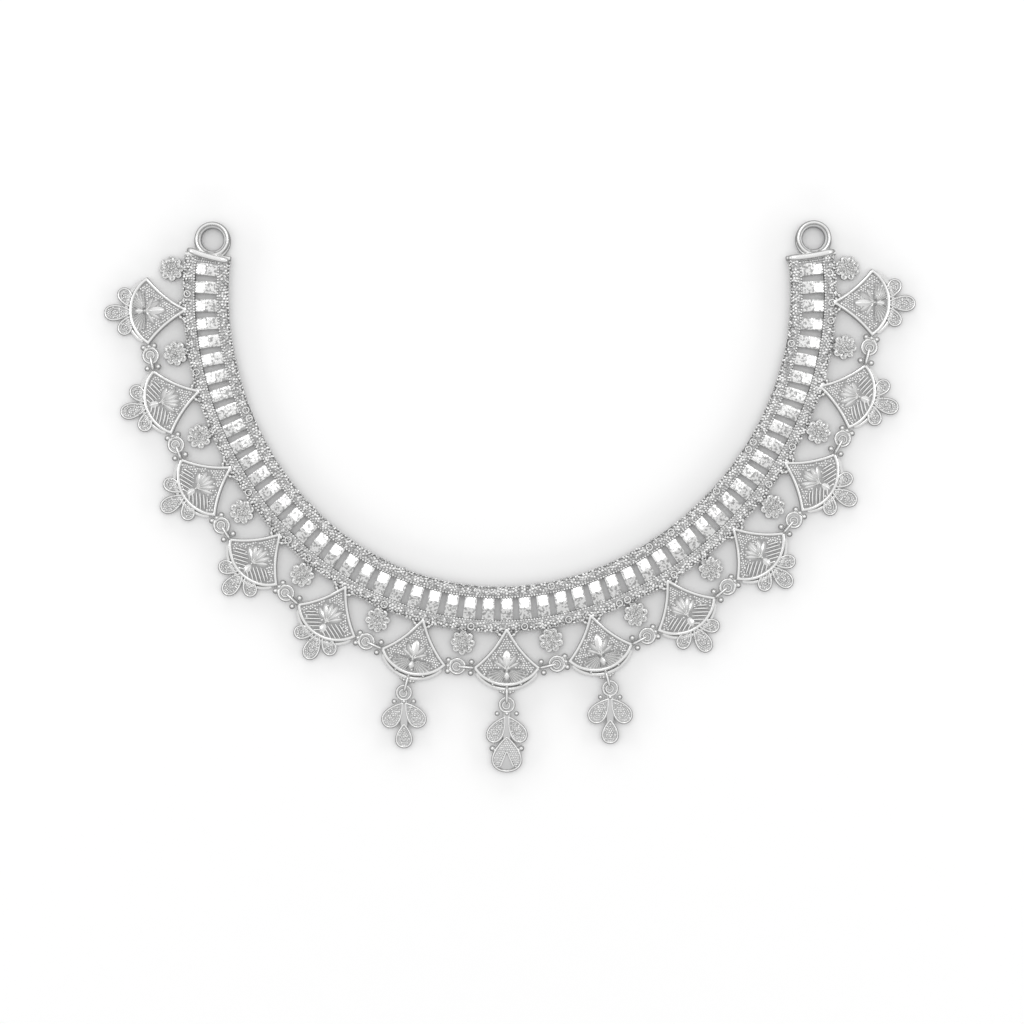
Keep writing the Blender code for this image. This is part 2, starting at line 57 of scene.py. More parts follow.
# %% Where things lie
MM = 0.001
CENTRE = np.array([-0.589, 38.89])
NECK_RADIUS, NECK_WAVE, WAVE_PHASE = 56.2, 0.8, math.radians(15)
BAND_WIDTH, RAIL_WIDTH, RUNG_WIDTH, SLOT_WIDTH, END_LIP = 9.2, 2.4, 2.4, 1.25, 1.1
MID_RADIUS = NECK_RADIUS + BAND_WIDTH / 2
RUNG_PITCH = (RUNG_WIDTH + SLOT_WIDTH) / MID_RADIUS
RUNGS_EACH_SIDE = 28
FAN_OUT, FAN_PITCH, FAN_DRIFT, FANS_EACH_SIDE = 9.5, math.radians(14.8877), 0.0075, 6
END_ROSETTE_ANGLE = math.radians(95.8)


def stacked(*values):
    """Numbers or arrays side by side, as the last axis of one array."""
    return np.stack(np.broadcast_arrays(*values), axis=-1)


def neck_radius(angle):
    """Radius of the neck line: a mean radius plus a cosine of three times the angle."""
    return NECK_RADIUS + NECK_WAVE * np.cos(3 * (angle + WAVE_PHASE))


def bend(angle, out, height, along=0.0):
    """Points on the collar: centre + (neck radius + out) (sin a, -cos a) - along (cos a, sin a)."""
    reach, sin, cos = neck_radius(angle) + out, np.sin(angle), np.cos(angle)
    return stacked(CENTRE[0] + reach * sin - along * cos, CENTRE[1] - reach * cos - along * sin, height)


def fan_angle(number):
    """Angle of a fan counted from the middle one, each side a little stretched or drawn in by the drift."""
    return number * FAN_PITCH * (1 + math.copysign(FAN_DRIFT, number))


print("rungs:", 2 * RUNGS_EACH_SIDE + 1, "pitch in degrees:", round(math.degrees(RUNG_PITCH), 2))

# %% [markdown]
# ## Surfaces from arrays
# Every piece is a set of closed surfaces whose points are worked out as whole arrays. Modelling each granule
# by hand or with a modifier would be slow, and here thousands of them are one sum of arrays. A surface is a
# pair: its points, and its faces as rows of four corners, where a triangle has -1 for its fourth.

# %% Surfaces from arrays
def skin(sections, loop=False, poles=None):
    """Closed surface over a grid of points whose columns wrap round. For a loop the rows wrap round too.
    Otherwise a pole closes each end, at the mean of the end's section unless it is given."""
    rows, columns = sections.shape[:2]
    row, column = np.meshgrid(np.arange(rows if loop else rows - 1), np.arange(columns), indexing="ij")
    row, column = row.ravel(), column.ravel()
    below, after = (row + 1) % rows * columns, (column + 1) % columns
    here = row * columns
    faces = stacked(here + column, below + column, below + after, here + after)
    points = sections.reshape(-1, 3)
    if loop:
        return points, faces
    first, last = poles if poles is not None else (sections[0].mean(0), sections[-1].mean(0))
    column = np.arange(columns)
    after, end, pole = (column + 1) % columns, (rows - 1) * columns, rows * columns
    top = stacked(pole, column, after, -1)
    bottom = stacked(end + column, pole + 1, end + after, -1)
    return np.concatenate([points, [first, last]]), np.concatenate([faces, top, bottom])


def joined(surfaces):
    """Several surfaces as one: points one after another, corners counted on."""
    points, faces, count = [], [], 0
    for part, corners in surfaces:
        points.append(part)
        faces.append(np.where(corners < 0, -1, corners + count))
        count += len(part)
    return np.concatenate(points), np.concatenate(faces)


def outward(surface):
    """The surface with its faces pointing out: the signed volume under them is made positive."""
    points, faces = surface
    a, b, c = points[faces[:, 0]], points[faces[:, 1]], points[faces[:, 2]]
    d = np.where((faces[:, 3] < 0)[:, None], c, points[faces[:, 3]])
    volume = (a * np.cross(b, c)).sum() + (a * np.cross(c, d)).sum()
    if volume < 0:
        flipped = faces[:, [2, 1, 0, 3]]
        faces = np.where(faces[:, 3:] < 0, flipped, faces[:, ::-1])
    return points, faces


print("a tube of four rings of six points has", len(skin(np.zeros((4, 6, 3)))[1]), "faces")

# %% [markdown]
# ## Wires, cushions and granules
# A smith works with few kinds of stock: drawn wire, cut sheet that is domed a little, and melted granules.
# So a wire is a profile carried along a path, a cushion is an outline drawn in step by step, and granules
# are one ball set down many times.

# %% Wires, cushions and granules
def unit(vectors):
    """Vectors scaled to length one."""
    return vectors / np.maximum(np.linalg.norm(vectors, axis=-1, keepdims=True), 1e-9)


def along_and_mitre(path, loop):
    """At each point of a path its direction and its mitre, one over the cosine of half the turn there. The
    squared cosine is kept from falling below 0.4, so that sharp corners don't run out to spikes."""
    into = unit(path - np.roll(path, 1, axis=0))
    onward = unit(np.roll(path, -1, axis=0) - path)
    if not loop:
        into[0], onward[-1] = onward[0], into[-1]
    squared_cosine = np.clip((1 + (into * onward).sum(-1)) / 2, 0.4, 1)
    return unit(into + onward), 1 / np.sqrt(squared_cosine)


def sweep(path, profile, loop=False, up=(0, 0, 1), size=1.0):
    """Profile of (side, height) pairs carried along a path: path + side * across + height * lift, times size.
    Corners are mitred: across is stretched there."""
    path, profile = np.asarray(path, float), np.asarray(profile, float)
    along, mitre = along_and_mitre(path, loop)
    across = unit(np.cross(along, up)) * mitre[:, None]
    lift = np.cross(unit(across), along)
    size = np.broadcast_to(size, len(path))[:, None, None]
    sections = path[:, None] + size * (across[:, None] * profile[:, :1] + lift[:, None] * profile[:, 1:])
    return skin(sections, loop)


def turns(count, shift=0.0):
    """Angles evenly round a circle: 2 pi (i + shift) / count."""
    return 2 * np.pi * (np.arange(count) + shift) / count


def circle(radius, count, centre=(0, 0), start=0.0):
    """Points round a circle: centre + radius (cos t, sin t)."""
    turn = start + turns(count)
    return centre + radius * stacked(np.cos(turn), np.sin(turn))


def wire(path, radius, loop=False, sides=8, up=(0, 0, 1), size=1.0):
    """Round wire: a circle carried along the path, times size."""
    return sweep(path, circle(radius, sides), loop, up, size)


def lifted(flat, height):
    """Flat points (n, 2) given a height."""
    return stacked(flat[:, 0], flat[:, 1], height)


def pillow(outline, steps, centre=None):
    """Closed cushion: each step (share, height) is the outline drawn in to that share about its centre."""
    outline = np.asarray(outline, float)
    centre = outline.mean(0) if centre is None else centre
    share, height = np.array(steps).T
    flat = centre + (outline - centre) * share[:, None, None]
    sections = stacked(flat[..., 0], flat[..., 1], height[:, None])
    return skin(sections, poles=np.array([[*centre, height[0]], [*centre, height[-1]]]))


def beads(centres, radii, rng, sides=6, stacks=3):
    """A small ball at each centre, turned by chance: centre + r (sin p cos q, sin p sin q, cos p)."""
    centres, radii = np.asarray(centres, float), np.broadcast_to(radii, len(centres))
    polar = np.pi * np.arange(1, stacks) / stacks
    around, belt = turns(sides), np.sin(polar)[:, None]
    ring = stacked(belt * np.cos(around), belt * np.sin(around), np.cos(polar)[:, None])
    ball, faces = skin(ring, poles=np.array([[0, 0, 1.0], [0, 0, -1.0]]))
    spin = rng.uniform(0, 2 * np.pi, (len(centres), 1))
    cos, sin = np.cos(spin), np.sin(spin)
    x, y, z = ball.T
    turned = stacked(cos * x - sin * y, sin * x + cos * y, z)
    points = centres[:, None] + radii[:, None, None] * turned
    start = np.arange(len(centres))[:, None, None] * len(ball)
    faces = np.where(faces < 0, -1, faces + start)
    return points.reshape(-1, 3), faces.reshape(-1, 4)


print("one granule has", len(beads([[0, 0, 0]], 1.0, np.random.default_rng(0))[1]), "faces")

# %% [markdown]
# ## Nodes written as sums
# A finish is a small network of shader nodes. Drawing it with calls for every link hides the idea, so a
# wrapper lets a socket take part in plain arithmetic, and one method makes any other node.

# %% Nodes written as sums
class Value:
    """A socket that can be added, subtracted and multiplied."""

    def __init__(self, network, socket):
        self.network, self.socket = network, socket

    def _with(self, operation, first, second):
        return self.network.node("ShaderNodeMath", {"operation": operation}, {0: first, 1: second})

    def __add__(self, other):
        return self._with("ADD", self, other)

    def __sub__(self, other):
        return self._with("SUBTRACT", self, other)

    def __mul__(self, other):
        return self._with("MULTIPLY", self, other)


class Network:
    """A tree of nodes that ends in this shader."""

    def __init__(self, tree, shader):
        self.tree, self.shader = tree, tree.nodes[shader]

    def node(self, kind, settings=None, values=None, output=0):
        """A node of this type: its settings first, then the values or links of its sockets."""
        node = self.tree.nodes.new(kind)
        for key, setting in (settings or {}).items():
            setattr(node, key, setting)
        for key, value in (values or {}).items():
            if isinstance(value, Value):
                self.tree.links.new(value.socket, node.inputs[key])
            else:
                node.inputs[key].default_value = value
        return Value(self, node.outputs[output])

    def feed(self, socket, value):
        """Lead a value into a socket of the shader."""
        self.tree.links.new(value.socket, self.shader.inputs[socket])


class Finish(Network):
    """A finish and the nodes that make it."""

    def __init__(self, name, metallic=1.0):
        self.material = bpy.data.materials.new(name)
        self.material.use_nodes = True
        super().__init__(self.material.node_tree, "Principled BSDF")
        self.shader.inputs["Metallic"].default_value = metallic
        self.place = self.node("ShaderNodeTexCoord", output="Object")

    def noise(self, millimetres, detail=3.0):
        """Noise whose patches are about this many millimetres across, from 0 to 1."""
        return self.node("ShaderNodeTexNoise", None,
                         {"Vector": self.place, "Scale": 1 / (millimetres * MM), "Detail": detail}, "Fac")

    def painted_shade_by_height(self, low, high):
        """Painted shade by height: 0, fully shaded, at the low level and 1 at the high one, in millimetres
        above the table.
        """
        level = self.node("ShaderNodeSeparateXYZ", None, {0: self.place}, "Z")
        return self.node("ShaderNodeMapRange", {"clamp": True},
                         {"Value": level, "From Min": low * MM, "From Max": high * MM})

    def mix(self, share, first, second):
        """One colour turning into the other with the share."""
        return self.node("ShaderNodeMix", {"data_type": "RGBA"}, {"Factor": share, 6: first, 7: second}, 2)


print("wrapper ready")

# %% [markdown]
# ## The silvers
# Cast silver is bright where it is burnished and keeps a dull oxide in its hollows. One recipe makes all the
# finishes: a colour that darkens towards the low places, a roughness that wanders, and a fine unevenness
# of the skin as a bump. The darkening is painted shade, low on every wire, ball and granule and on the ground
# between them, and the tops are painted lighter as a highlight; in part it also stands for the oxide in the
# hollows.

# %% The silvers
CLOUD_SIZE, CLOUD_SHARE, RISE_SHARE = 1.6, 0.3, 1.15
DULL_BELOW, BRIGHT_ABOVE, BUMP_STRENGTH = 0.36, 0.56, 0.6


def silver(name, bright, blue, dark, low, high, rough, wander, grain, depth, mottle=0.0, patch_size=0.5):
    """Silver between two greys by height and noise, with roughness = rough + wander * noise. The grey by
    height is painted shade towards the low level and a painted highlight towards the high one, in part also
    the oxide of the hollows. A mottle takes that share of the brightness out in patches, where the metal is
    still dull."""
    finish = Finish(name)
    clouds = finish.noise(CLOUD_SIZE)
    fine = finish.noise(grain, detail=2.0)
    # Painted shade: the colour darkens with height towards the low level, under every granule and ball and on
    # the ground between them, and the tops are painted lighter.
    rise = finish.painted_shade_by_height(low, high)
    share = finish.node("ShaderNodeMath", {"operation": "MULTIPLY_ADD", "use_clamp": True},
                        {0: rise, 1: RISE_SHARE, 2: clouds * CLOUD_SHARE - CLOUD_SHARE})
    if mottle:
        spots = finish.noise(patch_size, detail=1.0)
        patch = finish.node("ShaderNodeMapRange", {"interpolation_type": "SMOOTHSTEP"},
                            {"Value": spots, "From Min": DULL_BELOW, "From Max": BRIGHT_ABOVE})
        share = share * (patch * mottle + (1 - mottle))
    finish.feed("Base Color", finish.mix(share, (dark, dark, dark, 1), (bright, bright, blue, 1)))
    finish.feed("Roughness", clouds * wander + fine * (wander * 0.6) + (rough - wander * 0.5))
    bump = finish.node("ShaderNodeBump", None,
                       {"Strength": BUMP_STRENGTH, "Distance": depth * MM, "Height": fine})
    finish.feed("Normal", bump)
    return finish.material


# Each finish: material, bright grey and its blue part, dark grey, the heights in millimetres between which
# dark turns to bright, that is painted shade below and a painted highlight above, roughness and how far it
# wanders, size and depth of the skin's grain in millimetres, and then the mottle and the size of its patches,
# where there are any.
RECIPES = {
    "polished": ("polished_silver", 0.97, 0.965, 0.55, 0.2, 1.0, 0.12, 0.08, 0.5, 0.012),
    "granules": ("granulated_silver", 0.96, 0.955, 0.27, 1.24, 1.68, 0.15, 0.10, 0.12, 0.02, 0.7, 0.8),
    "field": ("field_granule_silver", 0.96, 0.955, 0.44, 0.9, 1.17, 0.14, 0.10, 0.12, 0.02, 0.4),
    "flower": ("flower_granule_silver", 0.95, 0.945, 0.38, 0.62, 1.06, 0.14, 0.10, 0.12, 0.02, 0.6),
    # The ground's two dark greys are painted shade between the granules.
    "ground": ("matt_ground_painted_shade_silver", 0.50, 0.50, 0.30, 0.0, 1.4, 0.38, 0.16, 0.15, 0.04),
    "plain": ("plain_sheet_silver", 0.72, 0.72, 0.50, 0.0, 1.0, 0.34, 0.12, 0.3, 0.02),
    "stippled": ("stippled_silver", 0.97, 0.965, 0.30, 0.5, 1.1, 0.13, 0.06, 0.10, 0.003, 0.75),
    "chased": ("chased_leaf_silver", 0.97, 0.965, 0.40, 1.02, 1.18, 0.14, 0.10, 0.15, 0.02),
    "grooved": ("grooved_shell_silver", 0.97, 0.965, 0.46, 1.12, 1.36, 0.15, 0.10, 0.15, 0.02),
    "filigree": ("filigree_silver", 0.97, 0.965, 0.48, 0.56, 0.9, 0.15, 0.10, 0.12, 0.02, 0.4),
}
FINISHES = {finish: silver(*recipe) for finish, recipe in RECIPES.items()}
print("finishes:", ", ".join(FINISHES))

# %% [markdown]
# ## Casting a piece
# The surfaces of one piece are gathered with their finishes and written into a single mesh. Its object stays
# at the origin, because the solids do too. The piece then stands for the solid of its name.

# %% Casting a piece
SHARP_FROM = math.radians(50)


def placed(name, data):
    """An object with this mesh, lamp or camera, linked into the scene."""
    thing = bpy.data.objects.new(name, data)
    bpy.context.scene.collection.objects.link(thing)
    return thing


class Casting:
    """Gathers surfaces in millimetres and makes one object of them."""

    def __init__(self, seed):
        self.surfaces, self.finishes = [], []
        self.rng = np.random.default_rng(seed)

    def add(self, surface, finish="polished"):
        """Take in a closed surface with its finish."""
        self.surfaces.append(outward(surface))
        self.finishes.append(finish)

    def granules(self, centres, radii, finish="granules"):
        """Take in a small granule at each centre."""
        self.add(beads(centres, radii, self.rng), finish)

    def balls(self, centres, radii, sides=12, stacks=8, finish="polished"):
        """Take in a large ball at each centre."""
        self.add(beads(centres, radii, self.rng, sides, stacks), finish)

    def cast(self, name, node, carry=None):
        """One mesh of all the surfaces, in metres, which stands for the node. Carry is a function that takes
        the points to their place."""
        points, faces = joined(self.surfaces)
        if carry is not None:
            points = carry(points)
        corners = faces >= 0
        mesh = bpy.data.meshes.new(name)
        mesh.vertices.add(len(points))
        mesh.vertices.foreach_set("co", (points * MM).ravel())
        mesh.loops.add(int(corners.sum()))
        mesh.loops.foreach_set("vertex_index", faces[corners].astype(np.int32))
        mesh.polygons.add(len(faces))
        starts = np.concatenate([[0], np.cumsum(corners.sum(1))[:-1]]).astype(np.int32)
        mesh.polygons.foreach_set("loop_start", starts)
        mesh.update(calc_edges=True)
        used = sorted(set(self.finishes))
        for finish in used:
            mesh.materials.append(FINISHES[finish])
        numbers = np.repeat([used.index(finish) for finish in self.finishes],
                            [len(part) for _, part in self.surfaces])
        mesh.polygons.foreach_set("material_index", numbers.astype(np.int32))
        mesh.polygons.foreach_set("use_smooth", np.ones(len(faces), bool))
        mesh.set_sharp_from_angle(angle=SHARP_FROM)
        mesh.validate()
        piece = placed(name, mesh)
        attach(piece, "root")
        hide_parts(node)
        print(f"{name}: {(corners.sum(1) - 2).sum()} triangles")


print("edges stay sharp from a turn of", round(math.degrees(SHARP_FROM)), "degrees")

# %% [markdown]
# ## The ladder band: rails
# The band is one casting: two rails packed with little granule flowers, joined by rungs. The rails' bodies
# are a profile carried round the neck line. Flowers of six granules round a heart lie on a carpet of smaller
# ones, all placed by angle, and a few flowers are a little ring of wire. The outer granules hang over the
# rail's edge, which gives the real band its scalloped outline.

# %% The ladder band: rails
END_ANGLE = RUNGS_EACH_SIDE * RUNG_PITCH + (RUNG_WIDTH / 2 + END_LIP) / MID_RADIUS
FLOWER_PITCH, PETALS, PETAL_RING, PETAL_RADIUS, HEART_RADIUS = 1.78, 6, 0.62, 0.32, 0.36
GRANULE_LEVEL = 1.58
CARPET_ROWS, CARPET_PITCH, CARPET_RADIUS, CARPET_LEVEL = 4, 0.66, 0.30, 1.37
RINGED_RADIUS, RINGED_WIRE, RINGED_LEVEL, RINGED_ROOM = 0.62, 0.19, 1.66, 0.95
SPECK_RING, SPECK_RADIUS, SPECK_LEVEL, SPECK_SHARE = 0.3, 0.17, 1.5, 0.75
RAIL_MARGIN, RAIL_TOP, RAIL_BEVEL = 0.22, 1.42, 0.25
# Rows: where the middle of a rail's flowers is, where its carpet begins, share of flowers with a ring.
RAILS = ((0.98, 0.18, 0.05), (BAND_WIDTH - 0.95, BAND_WIDTH - 0.16, 0.14))


def spread(out, pitch, margin=0.0):
    """Angles evenly spaced along the band at this distance out, about a pitch apart."""
    reach = END_ANGLE - margin / (NECK_RADIUS + out)
    count = round(2 * reach * (NECK_RADIUS + out) / pitch)
    return np.linspace(-reach, reach, count + 1)


def rail_body(profile):
    """A rail: the profile's (out, height) points at each of many angles round the neck."""
    angles = np.linspace(-END_ANGLE, END_ANGLE, 261)
    outs, heights = np.array(profile).T
    return skin(bend(angles[:, None], outs, heights))


band = Casting(seed=11)
for near, far in ((RAIL_MARGIN, RAIL_WIDTH), (BAND_WIDTH - RAIL_MARGIN, BAND_WIDTH - RAIL_WIDTH)):
    step = RAIL_BEVEL if far > near else -RAIL_BEVEL
    body = [(near, 0.0), (near, 1.15), (near + step, RAIL_TOP),
            (far - step, RAIL_TOP), (far, 1.2), (far, 0.0)]
    band.add(rail_body(body), "ground")

for middle, edge, ringed_share in RAILS:
    hearts, reach = spread(middle, FLOWER_PITCH, 0.7), NECK_RADIUS + middle
    count = len(hearts)
    wobble = band.rng.normal(0, 0.06, (2, count))
    ringed = band.rng.uniform(size=count) < ringed_share
    turn = band.rng.uniform(0, 2 * np.pi, count)[:, None] + turns(PETALS)
    petal_angle = (hearts + wobble[0] / reach)[:, None] + PETAL_RING * np.cos(turn) / reach
    petal_out = middle + wobble[1][:, None] + PETAL_RING * np.sin(turn)
    heights = GRANULE_LEVEL + band.rng.normal(0, 0.05, petal_out.shape)
    shut = ~ringed
    petals = bend(petal_angle[shut], petal_out[shut], heights[shut]).reshape(-1, 3)
    sizes = PETAL_RADIUS * band.rng.uniform(0.82, 1.1, len(petals))
    band.granules(petals, sizes)
    centres = bend(hearts[shut] + wobble[0][shut] / reach, middle + wobble[1][shut], GRANULE_LEVEL + 0.1)
    band.granules(centres, HEART_RADIUS)
    around = turns(16)
    for angle in hearts[ringed]:
        ring = bend(angle + RINGED_RADIUS * np.cos(around) / reach, middle + RINGED_RADIUS * np.sin(around),
                    RINGED_LEVEL)
        band.add(wire(ring, RINGED_WIRE, loop=True, sides=6))
    specks = bend(hearts[ringed], middle, SPECK_LEVEL)[:, None] + np.concatenate([
        np.zeros((1, 3)), lifted(circle(SPECK_RING, 4, start=0.4), 0.02)])
    kept = band.rng.uniform(size=specks.shape[:2]) < SPECK_SHARE
    band.granules(specks[kept], SPECK_RADIUS)
    for number, out in enumerate(np.linspace(edge, 2 * middle - edge, CARPET_ROWS)):
        row = spread(out, CARPET_PITCH, 0.3)
        shift = number % 2 / 2 * CARPET_PITCH + band.rng.normal(0, 0.05, len(row))
        row = row + shift / (NECK_RADIUS + out)
        apart = np.abs(row[:, None] - hearts[ringed]).min(1) * reach
        row = row[np.hypot(apart, out - middle) > RINGED_ROOM]
        spots = bend(row, out + band.rng.normal(0, 0.04, len(row)),
                     CARPET_LEVEL + band.rng.normal(0, 0.05, len(row)))
        band.granules(spots, CARPET_RADIUS * band.rng.uniform(0.8, 1.1, len(row)))
print("points in the two rails:", sum(len(points) for points, _ in band.surfaces))

# %% [markdown]
# ## The ladder band: rungs and beaded wires
# Each rung is a little roof whose two slopes are punched all over, so one slope flashes white while the other
# glitters. The punch marks are real dents in the grid of points, most of them shallow and a few deep. The
# slots between the rungs are open to the table. A beaded wire, a row of balls, runs along each side of them.
# Beyond the last rung a plate with two rows of granules fills the band's end.

# %% The ladder band: rungs and beaded wires
RUNG_ACROSS, RUNG_ALONG = 10, 19
RUNG_EDGE, RUNG_RIDGE, PUNCH, UNDER_RAIL, TURNED_DOWN = 1.02, 1.62, 0.015, 0.2, 0.06
BEAD_WIRE_PITCH, BEAD_WIRE_RADIUS, BEAD_WIRE_LEVEL = 0.55, 0.25, 1.46
LIP_PITCH, LIP_RADIUS, LIP_LEVEL, PLATE_TOP = 0.47, 0.25, 1.35, 1.25


def rungs(rng):
    """All the rungs: a grid over each roof, height = edge + rise (1 - |2t - 1|) less a random punch mark,
    which is the deepest mark times the third power of a random share."""
    surfaces = []
    share = np.linspace(0, 1, RUNG_ALONG)
    out = RAIL_WIDTH - UNDER_RAIL + (BAND_WIDTH - 2 * RAIL_WIDTH + 2 * UNDER_RAIL) * share
    roof = RUNG_EDGE + (RUNG_RIDGE - RUNG_EDGE) * (1 - np.abs(2 * share - 1))
    across = np.linspace(-RUNG_WIDTH / 2, RUNG_WIDTH / 2, RUNG_ACROSS)
    edge = np.abs(across) > RUNG_WIDTH / 2 - 0.05
    for number in range(-RUNGS_EACH_SIDE, RUNGS_EACH_SIDE + 1):
        marks = PUNCH * rng.uniform(size=(RUNG_ALONG, RUNG_ACROSS)) ** 3
        top = roof[:, None] - np.where(edge, TURNED_DOWN, marks)
        angle = number * RUNG_PITCH
        upper = bend(angle, out[:, None], top, across)
        lower = bend(angle, out[:, None], 0.0, across[::-1][[0, -1]])
        surfaces.append(skin(np.concatenate([upper, lower], axis=1)))
    return joined(surfaces)


band.add(rungs(band.rng), "stippled")
for out in (RAIL_WIDTH - UNDER_RAIL, BAND_WIDTH - RAIL_WIDTH + UNDER_RAIL):
    row = spread(out, BEAD_WIRE_PITCH, 0.2)
    band.granules(bend(row, out, BEAD_WIRE_LEVEL), BEAD_WIRE_RADIUS, "flower")
for side in (-1, 1):
    lip = side * (END_ANGLE - np.array([0.35, 0.8]) / MID_RADIUS)
    outs = np.arange(2.7, 6.6, LIP_PITCH)
    spots = bend(lip[:, None], outs + np.array([[0.0], [0.23]]), LIP_LEVEL).reshape(-1, 3)
    band.granules(spots, LIP_RADIUS)
    plate = bend(side * (END_ANGLE - np.array([[0.0], [1.3]]) / MID_RADIUS),
                 np.array([2.2, 7.0, 7.0, 2.2]), np.array([PLATE_TOP, PLATE_TOP, 0.1, 0.1]))
    band.add(skin(plate), "ground")
band.cast("band_of_flowers", "collar_band")

# %% [markdown]
# ## End caps and tie rings
# Each end of the band is closed by a folded strip of sheet silver, hammered smooth, with a heavy ring
# soldered to it for the wearer's cord. The fold is an oval profile carried along a slightly bowed line. The
# ring is turned: a rounded section carried round a circle, with a ledge inside it and a thinner ring that
# shows at its foot.

# %% End caps and tie rings
RING_OUTER, RING_BORE, RING_REACH = 3.55, 2.2, 3.75
RING_SHIFT = {-1: -0.5, 1: 0.9}
CAP_TILT = {-1: math.radians(-9.5), 1: math.radians(2.5)}
CAP_LENGTH = {-1: 4.35, 1: 4.75}
BAR_LEVEL, STRIP_LEVEL, SOLDER_RADIUS, SOLDER_LEVEL = 1.55, 0.95, 0.55, 1.2
# The tie ring, its inner ledge and its foot: radius, how far it is drawn to the bar, section, level, finish.
TIE_RINGS = (
    (RING_OUTER - 0.44, 0.0, (0.88, 1.6, 18, 0.8), 1.3, "polished"),
    (RING_BORE + 0.35, 0.0, (0.7, 1.3, 14, 0.9), 0.75, "plain"),
    (RING_OUTER - 0.42, 0.28, (1.05, 0.7, 12, 0.6), 0.5, "polished"),
)


def oval(width, height, count, power):
    """A rounded box section: (w cos t, h sin t) with both parts raised to a power below one."""
    turn = turns(count, 0.5)
    cos, sin = np.cos(turn), np.sin(turn)
    return stacked(width / 2 * np.sign(cos) * np.abs(cos) ** power,
                   height / 2 * np.sign(sin) * np.abs(sin) ** power)


def end_cap(side, name, node):
    """Folded bar, the strip under it and the tie ring, in directions from the middle of the band's end."""
    cap = Casting(seed=21 + side)
    run = np.linspace(-1, 1, 33)
    u, v = CAP_LENGTH[side] * run, 0.52 - 0.28 * (1 - run ** 2)
    cos, sin = math.cos(CAP_TILT[side]), math.sin(CAP_TILT[side])
    bar = stacked(u * cos - v * sin, u * sin + v * cos, BAR_LEVEL)
    cap.add(sweep(bar, oval(1.3, 2.0, 18, 0.55), size=1 - 0.55 * np.abs(run) ** 9))
    cap.add(sweep(stacked(1.04 * u, 0.34, STRIP_LEVEL), oval(0.85, 1.8, 12, 0.5)))
    shift = side * RING_SHIFT[side]
    for radius, drawn, section, level, finish in TIE_RINGS:
        path = lifted(circle(radius, 72, (shift, RING_REACH - drawn)), level)
        cap.add(sweep(path, oval(*section), loop=True), finish)
    cap.balls([[shift - 0.9, 0.9, SOLDER_LEVEL], [shift + 0.9, 0.9, SOLDER_LEVEL]], SOLDER_RADIUS)
    angle = side * RUNGS_EACH_SIDE * RUNG_PITCH
    mid = bend(angle, BAND_WIDTH / 2, 0.0, -side * (RUNG_WIDTH / 2 + END_LIP))[:2]
    out = np.array([math.sin(angle), -math.cos(angle)]) * side
    along = np.array([math.cos(angle), math.sin(angle)]) * side

    def carry(points):
        return lifted(mid + points[:, :1] * out + points[:, 1:2] * along, points[:, 2])

    cap.cast(name, node, carry)


end_cap(-1, "folded_cap_left", "end_cap_left")
end_cap(1, "folded_cap_right", "end_cap_right")

# %% [markdown]
# ## Fan plaques: outline, field and rim
# A fan hangs by its point from the band's edge. It has hollow sides, a round lower edge, a heavy polished
# rim and a second rim below the arc. Its plane is a function of two shares: s runs from one side to the
# other and t from the point to the arc. So the edge is one line of numbers, and the rim is swept along it.

# %% Fan plaques: outline, field and rim
FAN_HALF, FAN_CORNER, FAN_REACH, APEX_HALF, APEX_LEVEL, HOLLOW = 6.8, 6.8, 10.5, 0.3, -1.0, 0.6
RIM_WIDTH, FIELD_LEVEL, SIDE_STEPS = 0.68, 1.08, 14
SKIRT_SHARE, SKIRT_REACH, SKIRT_LEVEL, SKIRT_STEPS = 0.82, 0.62, 0.5, 40
PLATE_MIDDLE, MOTIF = (0.0, 6.6), np.array([0.0, 7.3])
ARC_RISE = FAN_REACH - FAN_CORNER
ARC_RADIUS = (FAN_HALF ** 2 + ARC_RISE ** 2) / (2 * ARC_RISE)
ARC_MIDDLE = FAN_REACH - ARC_RADIUS
ARC_TURN = math.atan2(FAN_HALF, FAN_CORNER - ARC_MIDDLE)


def fan_field(s, t):
    """Place on the fan: a line from the point to the arc, bent in by hollow * 4t(1-t) at the sides."""
    apex = stacked(s * APEX_HALF, APEX_LEVEL)
    arc = stacked(ARC_RADIUS * np.sin(s * ARC_TURN), ARC_MIDDLE + ARC_RADIUS * np.cos(s * ARC_TURN))
    line = apex + (arc - apex) * t[..., None]
    bow = HOLLOW * 4 * t * (1 - t)
    return line + stacked(-s * bow * 0.73, np.abs(s) * bow * 0.68)


def fan_outline(inset=0.0):
    """The fan's edge, anticlockwise: one side, the arc and the other side, drawn in by the inset."""
    t = np.linspace(0, 1, SIDE_STEPS, endpoint=False)
    arc = fan_field(np.linspace(1, -1, 2 * SIDE_STEPS), np.ones(2 * SIDE_STEPS))
    edge = np.concatenate([fan_field(np.ones_like(t), t), arc, fan_field(-np.ones_like(t), t)[::-1]])
    if inset:
        along, mitre = along_and_mitre(edge, loop=True)
        edge = edge + inset * mitre[:, None] * stacked(-along[:, 1], along[:, 0])
    return edge


